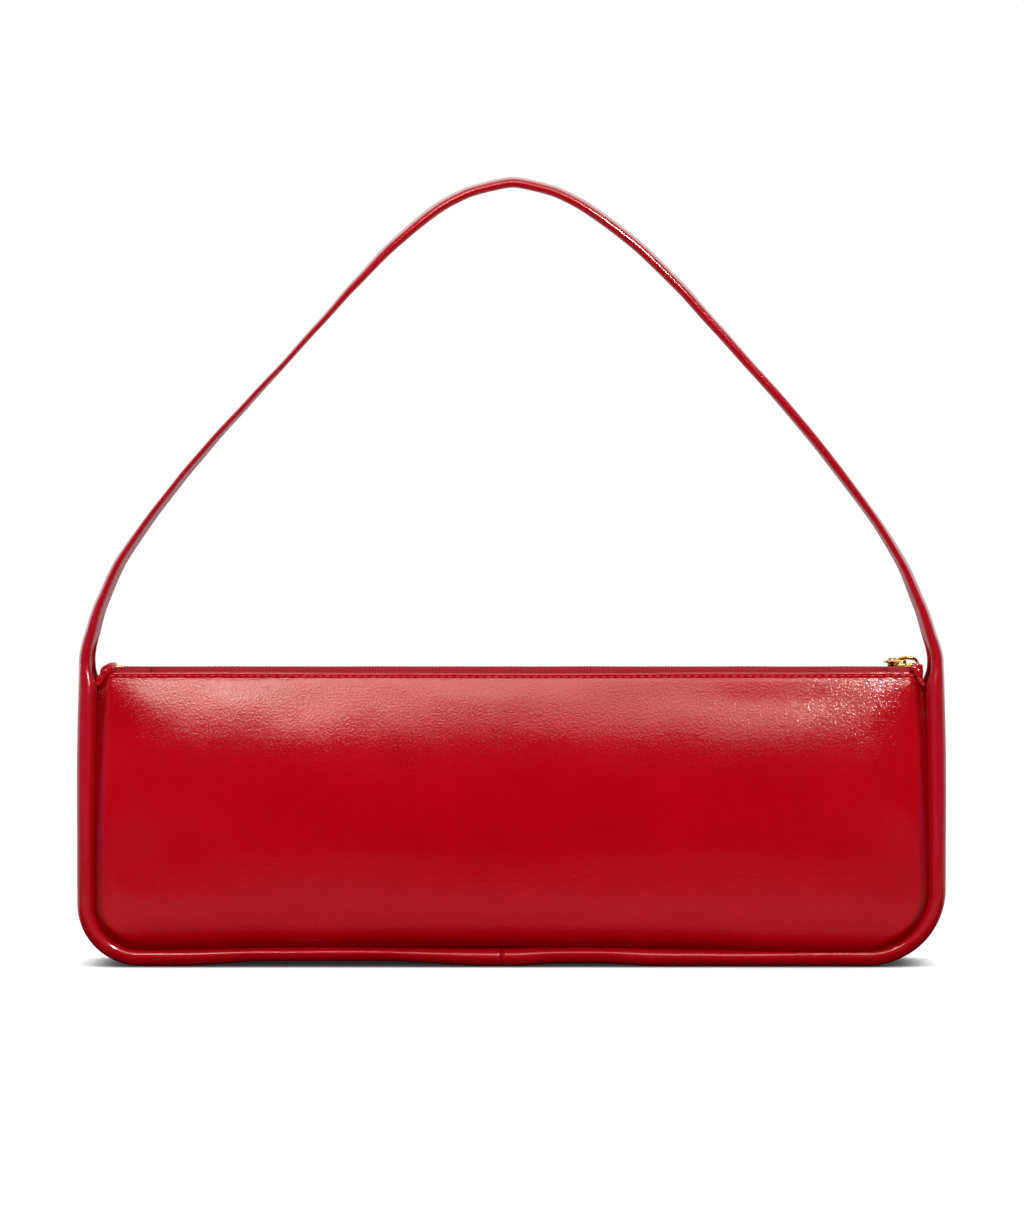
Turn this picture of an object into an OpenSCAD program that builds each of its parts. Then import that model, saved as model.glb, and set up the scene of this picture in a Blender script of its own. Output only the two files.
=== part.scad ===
// A long, low shoulder bag in smooth leather.
// X runs along the bag, the front faces -Y, Z is up and z = 0 is the surface it stands on.
// A front and a back panel bulge out of a raised rim. The rim is the rolled edge of one band,
// the gusset, which runs down both ends and under the base and goes on upwards as the strap.

/* [Bag] */
// Length over both ends
bag_l = 348; // [300:1:400]
// Depth where the panels bulge most
bag_d = 62; // [54:1:76]
// Height of the leather edges beside the zip
body_h = 117.8; // [105:0.1:140]
// Height at which the panels bulge most
belly_z = 45; // [35:1:55]
// Outer radius of the bottom corners, seen from the front
corner_r = 35; // [28:1:45]
// Clear width between the two leather edges at the mouth
mouth_w = 12; // [11.6:0.1:16]

/* [Leather] */
// Thickness of the leather
leather = 1.3; // [1:0.1:1.6]
// Depth of the folded hem beside the zip
hem_h = 11; // [8:0.5:15]
// Thickness of the foam behind each panel
foam = 2; // [1:0.1:3]
// Thickness of the lining cloth
cloth = 0.5; // [0.3:0.1:0.8]
// Air left between layers that are sewn together
layer_gap = 0.15; // [0.1:0.05:0.3]

/* [Rim] */
// Half depth of the rim at the base
rim_base_y = 25; // [22:0.5:28]
// Half depth of the rim where it is widest
rim_wide_y = 28.5; // [26:0.5:31]
// Height at which the rim is widest
rim_wide_z = 40; // [30:1:50]
// Half depth of the rim at the height of the zip
rim_top_y = 12.5; // [12:0.1:14]
// Width of the rim, seen from the front
rim_w = 7.7; // [7:0.1:9]
// How far the crease lies behind the rim
crease = 3.5; // [3:0.1:5]
// Thickness of the cord that fills the rim
rim_cord_d = 3.6; // [3:0.1:3.8]
// Where the two halves of the gusset are joined, from the middle of the base
seam_x = -4; // [-12:0.5:12]

/* [Inside] */
// Length of the stiff board in the base
board_l = 250; // [200:1:260]
// Width of the board
board_w = 36; // [28:1:37]
// Thickness of the board
board_t = 1.6; // [1:0.1:1.8]
// Corner radius of the board
board_r = 8; // [3:0.5:12]
// Width of the slip pocket
pocket_w = 110; // [80:1:150]
// Height of the bottom of the slip pocket
pocket_z = 30; // [24:1:40]
// Depth of the slip pocket
pocket_h = 62; // [40:1:68]

/* [Zip] */
// Distance from one tooth to the next in a row
tooth_pitch = 2.36; // [2.2:0.01:2.6]
// Length of a tooth along the zip
tooth_l = 1; // [0.8:0.05:1.05]
// Height of a tooth
tooth_h = 2.2; // [2:0.1:2.4]
// How far a tooth reaches past the middle of the zip
tooth_reach = 0.6; // [0.4:0.05:0.8]
// Distance from the middle of the zip to the back of a tooth
tooth_back = 3.4; // [3:0.1:3.6]
// Thickness of the zip tape
tape = 0.5; // [0.4:0.05:0.6]
// Distance from the middle of the zip to the edge of the tape
tape_edge = 1.9; // [1.5:0.1:2.2]
// Height of the zip tape above the leather edges
tape_rise = 1.05; // [0.9:0.05:1.4]
// Distance of the fixed stop from the bag's left end
stop_in = 16.5; // [15.5:0.5:24]
// Length of the fixed stop
stop_l = 4.2; // [3:0.1:5]
// Room left between the slider and the fixed stop when the zip is open
stop_room = 0.9; // [0.5:0.1:12]

/* [Slider] */
// Distance of the slider's middle from the bag's right end, with the zip shut
slider_in = 13.6; // [13.5:0.1:14.5]
// Length of the slider
slider_l = 10; // [9:0.1:10.4]
// Width of the slider
slider_w = 9.6; // [9:0.1:9.8]
// Thickness of its two plates
slider_t = 0.7; // [0.5:0.05:0.9]
// Running room between the slider and the teeth or tape
slider_gap = 0.2; // [0.1:0.05:0.3]
// Length of the wedge that parts the teeth
wedge_l = 3; // [2.5:0.1:3.4]
// Width of the wedge
wedge_w = 2.4; // [1.8:0.1:3]
// Length of the bail on top of the slider
bail_l = 9.6; // [8.6:0.1:9.8]
// Height of the bail above the plate
bail_h = 3.1; // [2.9:0.1:3.4]
// Thickness of the bail
bail_t = 0.9; // [0.7:0.05:1]
// Width of the bail
bail_w = 1.4; // [1.2:0.1:1.6]

/* [Puller] */
// Thickness of the ring's wire
wire_d = 1.1; // [0.9:0.05:1.2]
// Width of the ring, along the zip
ring_w = 8.9; // [8:0.1:9]
// How far the ring reaches in front of the middle of the zip
ring_front = 3.4; // [3:0.1:3.8]
// How far the ring reaches behind it
ring_back = 8.6; // [8.2:0.1:10]
// Corner radius of the ring, at the middle of the wire
ring_r = 1.7; // [1.4:0.1:2]
// Length of the pull tab below its eye
tab_l = 26; // [18:0.5:28]
// Width of the pull tab at its foot
tab_w = 7; // [5:0.1:8]
// Thickness of the pull tab
tab_t = 1.5; // [1.2:0.1:1.8]
// Running room between the tab's eye and the ring
eye_gap = 0.25; // [0.15:0.05:0.35]
// How far the tab leans away from the vertical as it hangs
tab_lean = 27; // [27:0.5:32]

/* [Strap] */
// Height of the middle of the strap's crown above the surface
strap_top = 317.7; // [270:1:360]
// Width of the strap
strap_w = 22; // [18:0.5:24]
// Thickness of the strap over most of its length
strap_t = 2.2; // [2:0.1:3]
// Thickness of the strap where it leaves the bag
strap_root_t = 5.6; // [5:0.1:6]
// Thickness of the strap's leather
strap_leather = 0.8; // [0.6:0.05:0.9]
// Width of the rolled edge along the strap
strap_roll = 3; // [2.5:0.1:4]
// Height at which the strap folds down
fold_z = 121; // [120.5:0.1:123]
// How stiffly the strap stands up before it curves in
strap_stand = 38.8; // [30:0.5:50]
// How far it bows outwards there
strap_bow = 6.3; // [2:0.1:8]
// How wide the strap curves round its crown
strap_round = 42.1; // [30:0.5:60]
// How far the crown leans towards the front, in degrees
strap_lean = 13; // [0:1:16]
// Room that the strap's end keeps from the gusset when it is folded down
fold_gap = 0.5; // [0.3:0.1:1]

/* [Stitching] */
// Distance from one stitch to the next
stitch_pitch = 3.1; // [2.5:0.1:4]
// Length of a stitch that shows
stitch_l = 2.3; // [1.8:0.1:2.4]
// Thickness of the thread
thread_d = 0.5; // [0.4:0.05:0.7]
// Distance of the stitches below the leather edge
stitch_drop = 1.6; // [1.2:0.1:2.5]

/* [Hidden] */

red = [0.68, 0.02, 0.07];
deep_red = [0.55, 0.01, 0.05];
cloth_red = [0.45, 0.05, 0.08];
gold = [0.83, 0.62, 0.28];
board_grey = [0.35, 0.33, 0.31];
foam_white = [0.9, 0.88, 0.84];

half_l = bag_l / 2;
belly_y = bag_d / 2;
slider_x = half_l - slider_in;
stop_x = stop_in - half_l;
slide_l = slider_x - stop_x - slider_l / 2 - stop_room;
// The folded hem is two layers of leather
hem_t = 2 * leather;
top_y = mouth_w / 2 + hem_t;
// The panel's edge, which lies in the crease beside the rim
crease_room = 0.5;
crease_x = half_l - rim_w - crease_room;
crease_z = rim_w + crease_room;
crease_r = corner_r - rim_w - crease_room;
lining_off = max(leather + foam, hem_t + tape) + 2 * layer_gap;
// Where the gusset ends and the strap's soft root begins and ends
gusset_top = fold_z - strap_w / 2 - fold_gap;
root_top = fold_z + strap_w / 2 + fold_gap;

tape_z = body_h + tape_rise;
tooth_z0 = tape_z - tooth_h / 2;
tooth_z1 = tape_z + tooth_h / 2;
hinge_y = mouth_w / 2 - 0.4;
flap_room = 0.35;
// The part of the zip that opens lies between the slider's two places
flap_x1 = slider_x - slider_l / 2 - 4.5;
flap_x0 = slider_x + slider_l / 2 - slide_l + 0.7;
tape_x0 = stop_x - stop_l - 3;
tape_x1 = slider_x + slider_l / 2 + 1.1;
teeth_x0 = stop_x + tooth_pitch / 2;
wedge_x = slider_x + slider_l / 2 - wedge_l - 0.3;
plate_top = tooth_z1 + slider_gap + slider_t;
ring_z = plate_top + 0.45 + wire_d / 2;
ring_x = slider_x - ring_w / 2;
eye_y = ring_back - wire_d / 2;

// Half depth of the rim's front line at height z
function rim_y(z) = z > rim_wide_z
    ? rim_top_y + (rim_wide_y - rim_top_y) * (1 - pow((z - rim_wide_z) / (body_h - rim_wide_z), 1.6))
    : rim_wide_y - (rim_wide_y - rim_base_y) * pow((rim_wide_z - z) / rim_wide_z, 2);

// Half depth of the panel in its middle at height z
function middle_y(z) = z > belly_z
    ? top_y + (belly_y - top_y) * (1 - pow((z - belly_z) / (body_h - belly_z), 1.7))
    : let (low_y = rim_y(crease_z) - crease)
      low_y + (belly_y - low_y) * sqrt(max(0, 1 - pow((belly_z - z) / (belly_z - crease_z), 2.6)));

// Half length of the panel at height z, drawn in all round by an inset
function panel_x(z, inset = 0) = z > crease_z + crease_r
    ? crease_x - inset
    : crease_x - crease_r + sqrt(max(0, pow(crease_r - inset, 2) - pow(crease_r + crease_z - z, 2)));

// Half depth of the panel's outer face at x, z
function face_y(x, z) = let (
        s = min(1, abs(x) / panel_x(z)),
        edge_y = rim_y(z) - crease
    )
    edge_y + (middle_y(z) - edge_y) * sqrt(1 - pow(s, 8));

// One layer of leather, and two in the hem
function hem_at(z) = leather * (1 + min(1, max(0, (z - body_h + hem_h) / 2)));

// Triangles between two neighbouring rings of n points each. The two halves of a ring are
// cut along the same diagonals, so a layer keeps its thickness where it twists.
function band(a, b, n) = [
    for (i = [0 : n - 1])
        let (k = (i + 1) % n)
        each i < n / 2
            ? [[a + i, b + i, b + k], [a + i, b + k, a + k]]
            : [[a + i, b + i, a + k], [b + i, b + k, a + k]]
];

// Triangles that close a ring of n points, whose first half faces its second half
function cap(a, n) = [
    for (i = [0 : n / 2 - 2])
        let (k = n - 1 - i)
        each [[a + i, a + i + 1, a + k - 1], [a + i, a + k - 1, a + k]]
];

function flipped(faces) = [for (f = faces) [f[2], f[1], f[0]]];

function reversed(points) = [for (i = [len(points) - 1 : -1 : 0]) points[i]];

// A ring from two edges of a section that run the same way
function ring(outside, inside) = concat(outside, reversed(inside));

// A closed skin through a list of rings. The rings turn clockwise, seen from the first one.
module loft(rings) {
    n = len(rings[0]);
    last = (len(rings) - 1) * n;
    polyhedron(
        points = [for (r = rings) each r],
        faces = concat(
            [for (j = [0 : len(rings) - 2]) each band(j * n, (j + 1) * n, n)],
            cap(0, n),
            flipped(cap(last, n))
        )
    );
}

// A layer of the front wall between two depths behind the panel's outer face.
// half_x gives its half length at each height.
module layer(half_x, z0, z1, near, far, cols, rows, grade = 1.6) {
    loft([
        for (j = [0 : rows])
            let (
                z = z0 + (z1 - z0) * pow(j / rows, grade),
                xs = [for (i = [0 : cols]) half_x(z) * sin(180 * i / cols - 90)]
            )
            ring(
                [for (x = xs) [x, near(z) - face_y(x, z), z]],
                [for (x = xs) [x, far(z) - face_y(x, z), z]]
            )
    ]);
}

module front_panel() {
    color(red)
        layer(function(z) panel_x(z), crease_z, body_h,
            function(z) 0, function(z) hem_at(z), 34, 16);
}

module back_panel() {
    mirror([0, 1, 0]) front_panel();
}

module front_padding() {
    edge = 3;
    near = leather + layer_gap;
    color(foam_white)
        layer(function(z) panel_x(z, edge), crease_z + edge, body_h - hem_h - 1,
            function(z) near, function(z) near + foam, 22, 10);
}

module back_padding() {
    mirror([0, 1, 0]) front_padding();
}

module front_lining() {
    edge = 1.2;
    color(cloth_red)
        layer(function(z) panel_x(z, edge), crease_z + edge, body_h - 2.3,
            function(z) lining_off, function(z) lining_off + cloth, 24, 12);
}

module back_lining() {
    mirror([0, 1, 0]) front_lining();
}

module slip_pocket() {
    near = lining_off + cloth + layer_gap;
    color(cloth_red)
        mirror([0, 1, 0])
            layer(function(z) pocket_w / 2, pocket_z, pocket_z + pocket_h,
                function(z) near, function(z) near + cloth, 10, 8, 1);
}

// A section's edge is drawn for the front half, and mirrored to the back half
function both_halves(points) = concat([for (p = reversed(points)) [p[0], -p[1]]], points);

// Section of the gusset at a place where the rim's half depth is r: a flat band with
// hooked edges. The first number runs in from the outer face, the second along Y.
function gusset_section(r) = ring(
    both_halves([
        [0, r - 4], [0.4, r - 2], [1.4, r - 0.6], [2.8, r], [4.6, r - 0.3], [6.2, r - 1.2],
        [rim_w - 0.4, r - 2.6], [rim_w, r - 4.2]
    ]),
    both_halves([
        [leather, r - 4.2], [leather + 0.15, r - 2.7], [2, r - 1.7], [2.9, r - leather],
        [4.3, r - 1.5], [5.3, r - 2], [rim_w - 1.4, r - 3], [rim_w - 1.1, r - 4.6]
    ])
);

// The lining bends in at its edges to meet the crease
function gusset_lining_section(r) = let (
        w = rim_w + 0.6,
        deep = leather + board_t + 3 * layer_gap
    )
    ring(
        both_halves([[deep, r - 8.2], [deep + 1.2, r - 6.5], [w, r - 5.6]]),
        both_halves([[deep + cloth, r - 8.6], [deep + 1.5, r - 7.2], [w, r - 6.2]])
    );

// Places along the gusset of the right end, from its top to end_x on the base:
// the outer face's x and z, and the outward direction's x and z
function gusset_places(top, end_x) = concat(
    [for (i = [0 : 7]) [half_l, top + (corner_r - top) * i / 8, 1, 0]],
    [for (i = [0 : 9])
        let (a = 90 * i / 9)
        [half_l - corner_r + corner_r * cos(a), corner_r - corner_r * sin(a), cos(a), -sin(a)]],
    [[end_x, 0, 0, -1]]
);

function place_points(p, section) = [
    for (q = section) [p[0] - p[2] * q[0], q[1], p[1] - p[3] * q[0]]
];

module gusset_right() {
    color(red)
        loft(reversed([for (p = gusset_places(gusset_top, seam_x))
            place_points(p, gusset_section(rim_y(p[1])))]));
}

module gusset_left() {
    color(red)
        mirror([1, 0, 0])
            loft(reversed([for (p = gusset_places(gusset_top, -seam_x))
                place_points(p, gusset_section(rim_y(p[1])))]));
}

// The whole band from the left end, under the base, to the right end
function band_places(top) = let (half = gusset_places(top, 0))
    concat(
        [for (i = [0 : len(half) - 2]) [-half[i][0], half[i][1], -half[i][2], half[i][3]]],
        [for (i = [len(half) - 2 : -1 : 0]) half[i]]
    );

module gusset_lining() {
    color(cloth_red)
        loft([for (p = band_places(gusset_top)) place_points(p, gusset_lining_section(rim_y(p[1])))]);
}

module rim_cord_front() {
    sides = 8;
    in_w = leather + 0.55 + rim_cord_d / 2;
    color(foam_white)
        loft([for (p = band_places(gusset_top))
            let (y = rim_y(p[1]) - leather - 0.35 - rim_cord_d / 2)
            place_points(p, [for (i = [0 : sides - 1])
                [in_w + rim_cord_d / 2 * cos(360 * i / sides), -y - rim_cord_d / 2 * sin(360 * i / sides)]])]);
}

module rim_cord_back() {
    mirror([0, 1, 0]) rim_cord_front();
}

module base_board() {
    color(board_grey)
        translate([0, 0, leather + layer_gap])
            linear_extrude(board_t) {
                square([board_l, board_w - 2 * board_r], center = true);
                square([board_l - 2 * board_r, board_w], center = true);
                for (x = [-1, 1])
                    for (y = [-1, 1])
                        translate([x * (board_l / 2 - board_r), y * (board_w / 2 - board_r)])
                            circle(board_r, $fn = 48);
            }
}

module top_stitching_front() {
    z = body_h - stitch_drop;
    reach = crease_x - 4;
    count = floor(reach / stitch_pitch);
    color(deep_red)
        for (i = [-count : count])
            let (x = i * stitch_pitch, y = face_y(x, z) + thread_d / 2 + 0.05)
            translate([x - stitch_l / 2, -y, z])
                rotate([0, 90, 0])
                    cylinder(h = stitch_l, d = thread_d, $fn = 6);
}

module top_stitching_back() {
    mirror([0, 1, 0]) top_stitching_front();
}

// The zip tape that is sewn in behind the hem, with its two ends that never open
module zip_tape_front() {
    near = hem_t + layer_gap / 2;
    color(cloth_red) {
        layer(function(z) crease_x - 2, body_h - hem_h + 2, tape_z - 2 * flap_room,
            function(z) near, function(z) near + tape, 24, 4, 1);
        for (x = [[tape_x0, flap_x0 - flap_room], [flap_x1 + flap_room, tape_x1]])
            translate([x[0], -hinge_y + 0.3, tape_z - tape / 2])
                cube([x[1] - x[0], hinge_y - 0.3 - tape_edge, tape]);
    }
}

module zip_tape_back() {
    mirror([0, 1, 0]) zip_tape_front();
}

// One tooth of the front row, clamped on the edge of the tape
module tooth(x) {
    slot = tape + 0.1;
    translate([x + tooth_l / 2, 0, tape_z])
        rotate([90, 0, -90])
            linear_extrude(tooth_l)
                difference() {
                    translate([-tooth_reach, -tooth_h / 2])
                        square([tooth_back + tooth_reach, tooth_h]);
                    translate([tape_edge - 0.05, -slot / 2])
                        square([tooth_back, slot]);
                }
}

// The teeth of the front row that stand between two places along the zip
module tooth_row(x0, x1) {
    first = ceil((x0 + tooth_l / 2 - teeth_x0) / tooth_pitch);
    last = floor((x1 - tooth_l / 2 - teeth_x0) / tooth_pitch);
    for (i = [first : last])
        tooth(teeth_x0 + i * tooth_pitch);
}

// The back row is the front row turned round, half a pitch further on
module back_row(x0, x1) {
    shift = tooth_pitch / 2;
    translate([shift, 0, 0])
        mirror([0, 1, 0])
            tooth_row(x0 - shift, x1 - shift);
}

module zip_end_teeth() {
    color(gold) {
        tooth_row(stop_x, flap_x0 - flap_room);
        back_row(stop_x, flap_x0 - flap_room);
        tooth_row(flap_x1 + flap_room, wedge_x - slider_gap);
        back_row(flap_x1 + flap_room, wedge_x - slider_gap);
    }
}

module zip_teeth_front() {
    color(gold) tooth_row(flap_x0, flap_x1);
}

module zip_teeth_back() {
    color(gold) back_row(flap_x0, flap_x1);
}

// The strip of tape that folds up when the zip is open
module zip_flap_front() {
    color(cloth_red)
        translate([flap_x0, -hinge_y + flap_room, tape_z - tape / 2])
            cube([flap_x1 - flap_x0, hinge_y - flap_room - tape_edge, tape]);
}

module zip_flap_back() {
    mirror([0, 1, 0]) zip_flap_front();
}

module zip_bottom_stop() {
    wide = 2 * tape_edge + 2;
    slot = tape + 0.1;
    color(gold)
        difference() {
            translate([stop_x - stop_l, -wide / 2, tooth_z0])
                cube([stop_l, wide, tooth_h + 0.3]);
            for (s = [-1, 1])
                translate([stop_x - stop_l - 1, s * (tape_edge - 0.05 + wide / 2) - wide / 2, tape_z - slot / 2])
                    cube([stop_l + 2, wide, slot]);
        }
}

module zip_top_stops() {
    long = 0.9;
    slot = tape + 0.1;
    color(gold)
        for (s = [0, 1])
            mirror([0, s, 0])
                translate([slider_x + slider_l / 2 + 0.1, 0, tape_z])
                    difference() {
                        translate([0, tape_edge - 0.5, -tooth_h / 2])
                            cube([long, 1.8, tooth_h]);
                        translate([-1, tape_edge - 0.05, -slot / 2])
                            cube([long + 2, 3, slot]);
                    }
}

// Leather folded over an end of the zip. Its closed end is round.
module end_tab(long, high, slot_l) {
    wide = 2 * (hinge_y - 0.7);
    slot = tape + 0.2;
    rotate([90, 0, 0])
        translate([0, 0, -wide / 2])
            linear_extrude(wide)
                difference() {
                    union() {
                        translate([high / 2, 0]) circle(d = high, $fn = 48);
                        translate([high / 2, -high / 2]) square([long - high / 2, high]);
                    }
                    translate([long - slot_l, -slot / 2]) square([slot_l + 1, slot]);
                }
}

module zip_end_tab_left() {
    end_x = stop_x - stop_l - 0.1;
    color(red)
        translate([end_x - 5.2, 0, tape_z + 0.25])
            difference() {
                end_tab(5.2, 3.8, 3.4);
                translate([1.4, -hinge_y, -0.6]) cube([5, 2 * hinge_y, 0.7]);
            }
}

module zip_end_tab_right() {
    thick = 1.3;
    wide = 2 * (hinge_y - 0.7);
    low = body_h - 5;
    high = plate_top + 1.2;
    x = tape_x1 + 0.05;
    color(red)
        translate([x, 0, 0])
            rotate([90, 0, 0])
                translate([0, 0, -wide / 2])
                    linear_extrude(wide) {
                        translate([0, low]) square([thick, high - low - thick / 2]);
                        translate([thick / 2, high - thick / 2]) circle(d = thick, $fn = 48);
                    }
}

module slider_body() {
    gap = tooth_h / 2 + slider_gap;
    lip_y = tooth_back + slider_gap + 0.1;
    lip_w = slider_w / 2 - lip_y;
    color(gold)
        translate([slider_x, 0, tape_z]) {
            for (s = [0, 1])
                mirror([0, 0, s]) {
                    translate([-slider_l / 2, -slider_w / 2, gap])
                        cube([slider_l, slider_w, slider_t]);
                    for (m = [0, 1])
                        mirror([0, m, 0])
                            translate([-slider_l / 2, lip_y, tape / 2 + slider_gap])
                                cube([slider_l, lip_w, gap - tape / 2 - slider_gap + 0.01]);
                }
            translate([wedge_x - slider_x, -wedge_w / 2, -gap - 0.01])
                cube([wedge_l, wedge_w, 2 * gap + 0.02]);
        }
}

module slider_bail() {
    out_r = (pow(bail_l / 2, 2) + pow(bail_h, 2)) / (2 * bail_h);
    color(gold)
        translate([slider_x, bail_w / 2, plate_top])
            rotate([90, 0, 0])
                linear_extrude(bail_w)
                    intersection() {
                        translate([0, bail_h - out_r])
                            difference() {
                                circle(out_r, $fn = 96);
                                circle(out_r - bail_t, $fn = 96);
                            }
                        translate([-bail_l, 0]) square([2 * bail_l, 2 * bail_h]);
                    }
}

// A rounded oblong wire ring, round one foot of the bail
module puller_ring() {
    half_w = ring_w / 2 - wire_d / 2;
    y0 = -ring_front + wire_d / 2;
    y1 = eye_y;
    color(gold)
        translate([ring_x, 0, ring_z]) {
            for (s = [-1, 1]) {
                translate([s * half_w, y0 + ring_r, 0])
                    rotate([-90, 0, 0])
                        cylinder(h = y1 - y0 - 2 * ring_r, d = wire_d, $fn = 32);
            }
            for (y = [y0, y1])
                translate([-half_w + ring_r, y, 0])
                    rotate([0, 90, 0])
                        cylinder(h = 2 * (half_w - ring_r), d = wire_d, $fn = 32);
            for (c = [[1, 1, 0], [-1, 1, 90], [-1, -1, 180], [1, -1, 270]])
                translate([c[0] * (half_w - ring_r), c[1] > 0 ? y1 - ring_r : y0 + ring_r, 0])
                    rotate([0, 0, c[2]])
                        rotate_extrude(angle = 90, $fn = 48)
                            translate([ring_r, 0]) circle(d = wire_d, $fn = 32);
        }
}

// A flat metal tab with a round eye on the ring's back bar
module pull_tab() {
    eye_r = wire_d / 2 + eye_gap;
    eye_w = 2 * (ring_w / 2 - wire_d / 2 - ring_r) - 0.3;
    out_r = eye_r + 0.75;
    color(gold)
        translate([ring_x, eye_y, ring_z])
            rotate([tab_lean, 0, 0])
                difference() {
                    union() {
                        translate([-eye_w / 2, 0, 0])
                            rotate([0, 90, 0])
                                cylinder(h = eye_w, r = out_r, $fn = 48);
                        translate([0, tab_t / 2, 0])
                            rotate([90, 0, 0])
                                linear_extrude(tab_t) {
                                    polygon([
                                        [-eye_w / 2, -1.2], [eye_w / 2, -1.2],
                                        [tab_w / 2, -tab_l + tab_w / 2], [-tab_w / 2, -tab_l + tab_w / 2]
                                    ]);
                                    translate([0, -tab_l + tab_w / 2]) circle(d = tab_w, $fn = 64);
                                }
                    }
                    translate([-eye_w, 0, 0])
                        rotate([0, 90, 0])
                            cylinder(h = 2 * eye_w, r = eye_r, $fn = 48);
                }
}

// The strap's middle line from the fold, at t = 0, to the crown, at t = 1
leg_x = half_l - strap_root_t / 2;
crown_z = strap_top - strap_t / 2;
function leg(t) = [
    pow(1 - t, 3) * leg_x + 3 * pow(1 - t, 2) * t * (leg_x + strap_bow) + 3 * (1 - t) * t * t * strap_round,
    pow(1 - t, 3) * fold_z + 3 * pow(1 - t, 2) * t * (fold_z + strap_stand)
        + (3 * (1 - t) * t * t + pow(t, 3)) * crown_z
];
function leg_way(t) = let (a = leg(t - 0.001), b = leg(t + 0.001)) (b - a) / norm(b - a);
// Where along the leg a height is reached
function leg_at(z, lo = 0, hi = 0.5, n = 24) = n == 0 ? lo
    : let (m = (lo + hi) / 2) leg(m)[1] < z ? leg_at(z, m, hi, n - 1) : leg_at(z, lo, m, n - 1);
function strap_thick(t) = strap_t + (strap_root_t - strap_t) * pow(max(0, 1 - t / 0.5), 1.7);

// Section of a band with rolled edges: half width h, thickness t, edge width e and skin s.
// The first number runs out from its middle, the second along its width.
function rolled(h, t, e, s) = let (a = t / 2, b = min(t / 2.2, 1.2))
    ring(
        both_halves([[a, h - 2 * b], [a - 0.3 * b, h - 0.7 * b], [a - b, h], [b - a, h]]),
        both_halves([[a - s, h - e - 0.2], [-a, h - e], [-a, h - 1.4 * b], [0.3 * b - a, h - 0.7 * b]])
    );

// A place on the strap: -1 is the left fold, 0 the crown and 1 the right fold
function strap_points(u, section) = let (
        t = 1 - abs(u),
        side = u < 0 ? -1 : 1,
        c = leg(t),
        w = leg_way(t),
        lean = strap_lean * pow(sin(90 * t), 4),
        out = [side * w[1], -w[0]],
        n = [out[0] * cos(lean), -sin(lean), out[1] * cos(lean)],
        v = [out[0] * sin(lean), cos(lean), out[1] * sin(lean)]
    )
    [for (q = section) [side * c[0], 0, c[1]] + q[0] * n + q[1] * v];

strap_end = leg_at(root_top);
strap_steps = 46;
function strap_stations() = [for (i = [0 : strap_steps]) (1 - strap_end) * (1 - 2 * i / strap_steps)];

module strap_outer() {
    color(red)
        loft([for (u = strap_stations())
            strap_points(u, rolled(strap_w / 2, strap_thick(1 - abs(u)), strap_roll, strap_leather))]);
}

// A flat layer inside the strap, between two depths measured out from its inner face
module strap_layer(from, to) {
    h = strap_w / 2 - strap_roll - 0.1;
    loft([for (u = strap_stations())
        let (a = strap_thick(1 - abs(u)) / 2, lo = -a + from, hi = to > 0 ? -a + to : a + to)
        strap_points(u, ring(both_halves([[hi, h - 0.2]]), both_halves([[lo, h]])))]);
}

module strap_inner() {
    color(red) strap_layer(0.05, 0.05 + strap_leather);
}

module strap_core() {
    color(foam_white) strap_layer(0.1 + strap_leather, -strap_leather - 0.05);
}

// The soft leather between the gusset and the strap, where the strap folds down
module strap_root_right() {
    low_steps = 4;
    high_steps = 4;
    low_t = rim_w;
    end = leg_at(root_top - 0.3);
    color(red)
        loft(concat(
            [for (i = [0 : low_steps - 1])
                let (
                    k = i / low_steps,
                    z = gusset_top + 0.1 + (fold_z - gusset_top) * k,
                    t = low_t + (strap_root_t - low_t) * k,
                    h = rim_y(gusset_top) + (strap_w / 2 + 0.6 - rim_y(gusset_top)) * pow(k, 0.7)
                )
                [for (q = rolled(h, t, 5 + (strap_roll - 5) * k, leather)) [half_l - t / 2 + q[0], q[1], z]]],
            [for (i = [0 : high_steps])
                let (k = i / high_steps, t = max(0.0015, end * k))
                strap_points(1 - t, rolled(
                    strap_w / 2 + 0.6 * (1 - k), strap_thick(t), strap_roll,
                    leather + (strap_leather - leather) * k
                ))]
        ));
}

module strap_root_left() {
    mirror([1, 0, 0]) strap_root_right();
}

front_panel();
back_panel();
front_padding();
back_padding();
front_lining();
back_lining();
gusset_left();
gusset_right();
gusset_lining();
rim_cord_front();
rim_cord_back();
base_board();
slip_pocket();
top_stitching_front();
top_stitching_back();
zip_tape_front();
zip_tape_back();
zip_end_teeth();
zip_bottom_stop();
zip_top_stops();
zip_end_tab_left();
zip_end_tab_right();
zip_flap_front();
zip_flap_back();
zip_teeth_front();
zip_teeth_back();
slider_body();
slider_bail();
puller_ring();
pull_tab();
strap_root_left();
strap_root_right();
strap_outer();
strap_core();
strap_inner();
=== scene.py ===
"""Looks of a long, low shoulder bag in glossy red leather. Sizes in the functions are in mm."""
import math
import random
from collections import namedtuple

import bmesh
import bpy
from mathutils import Matrix, Vector, noise

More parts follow.
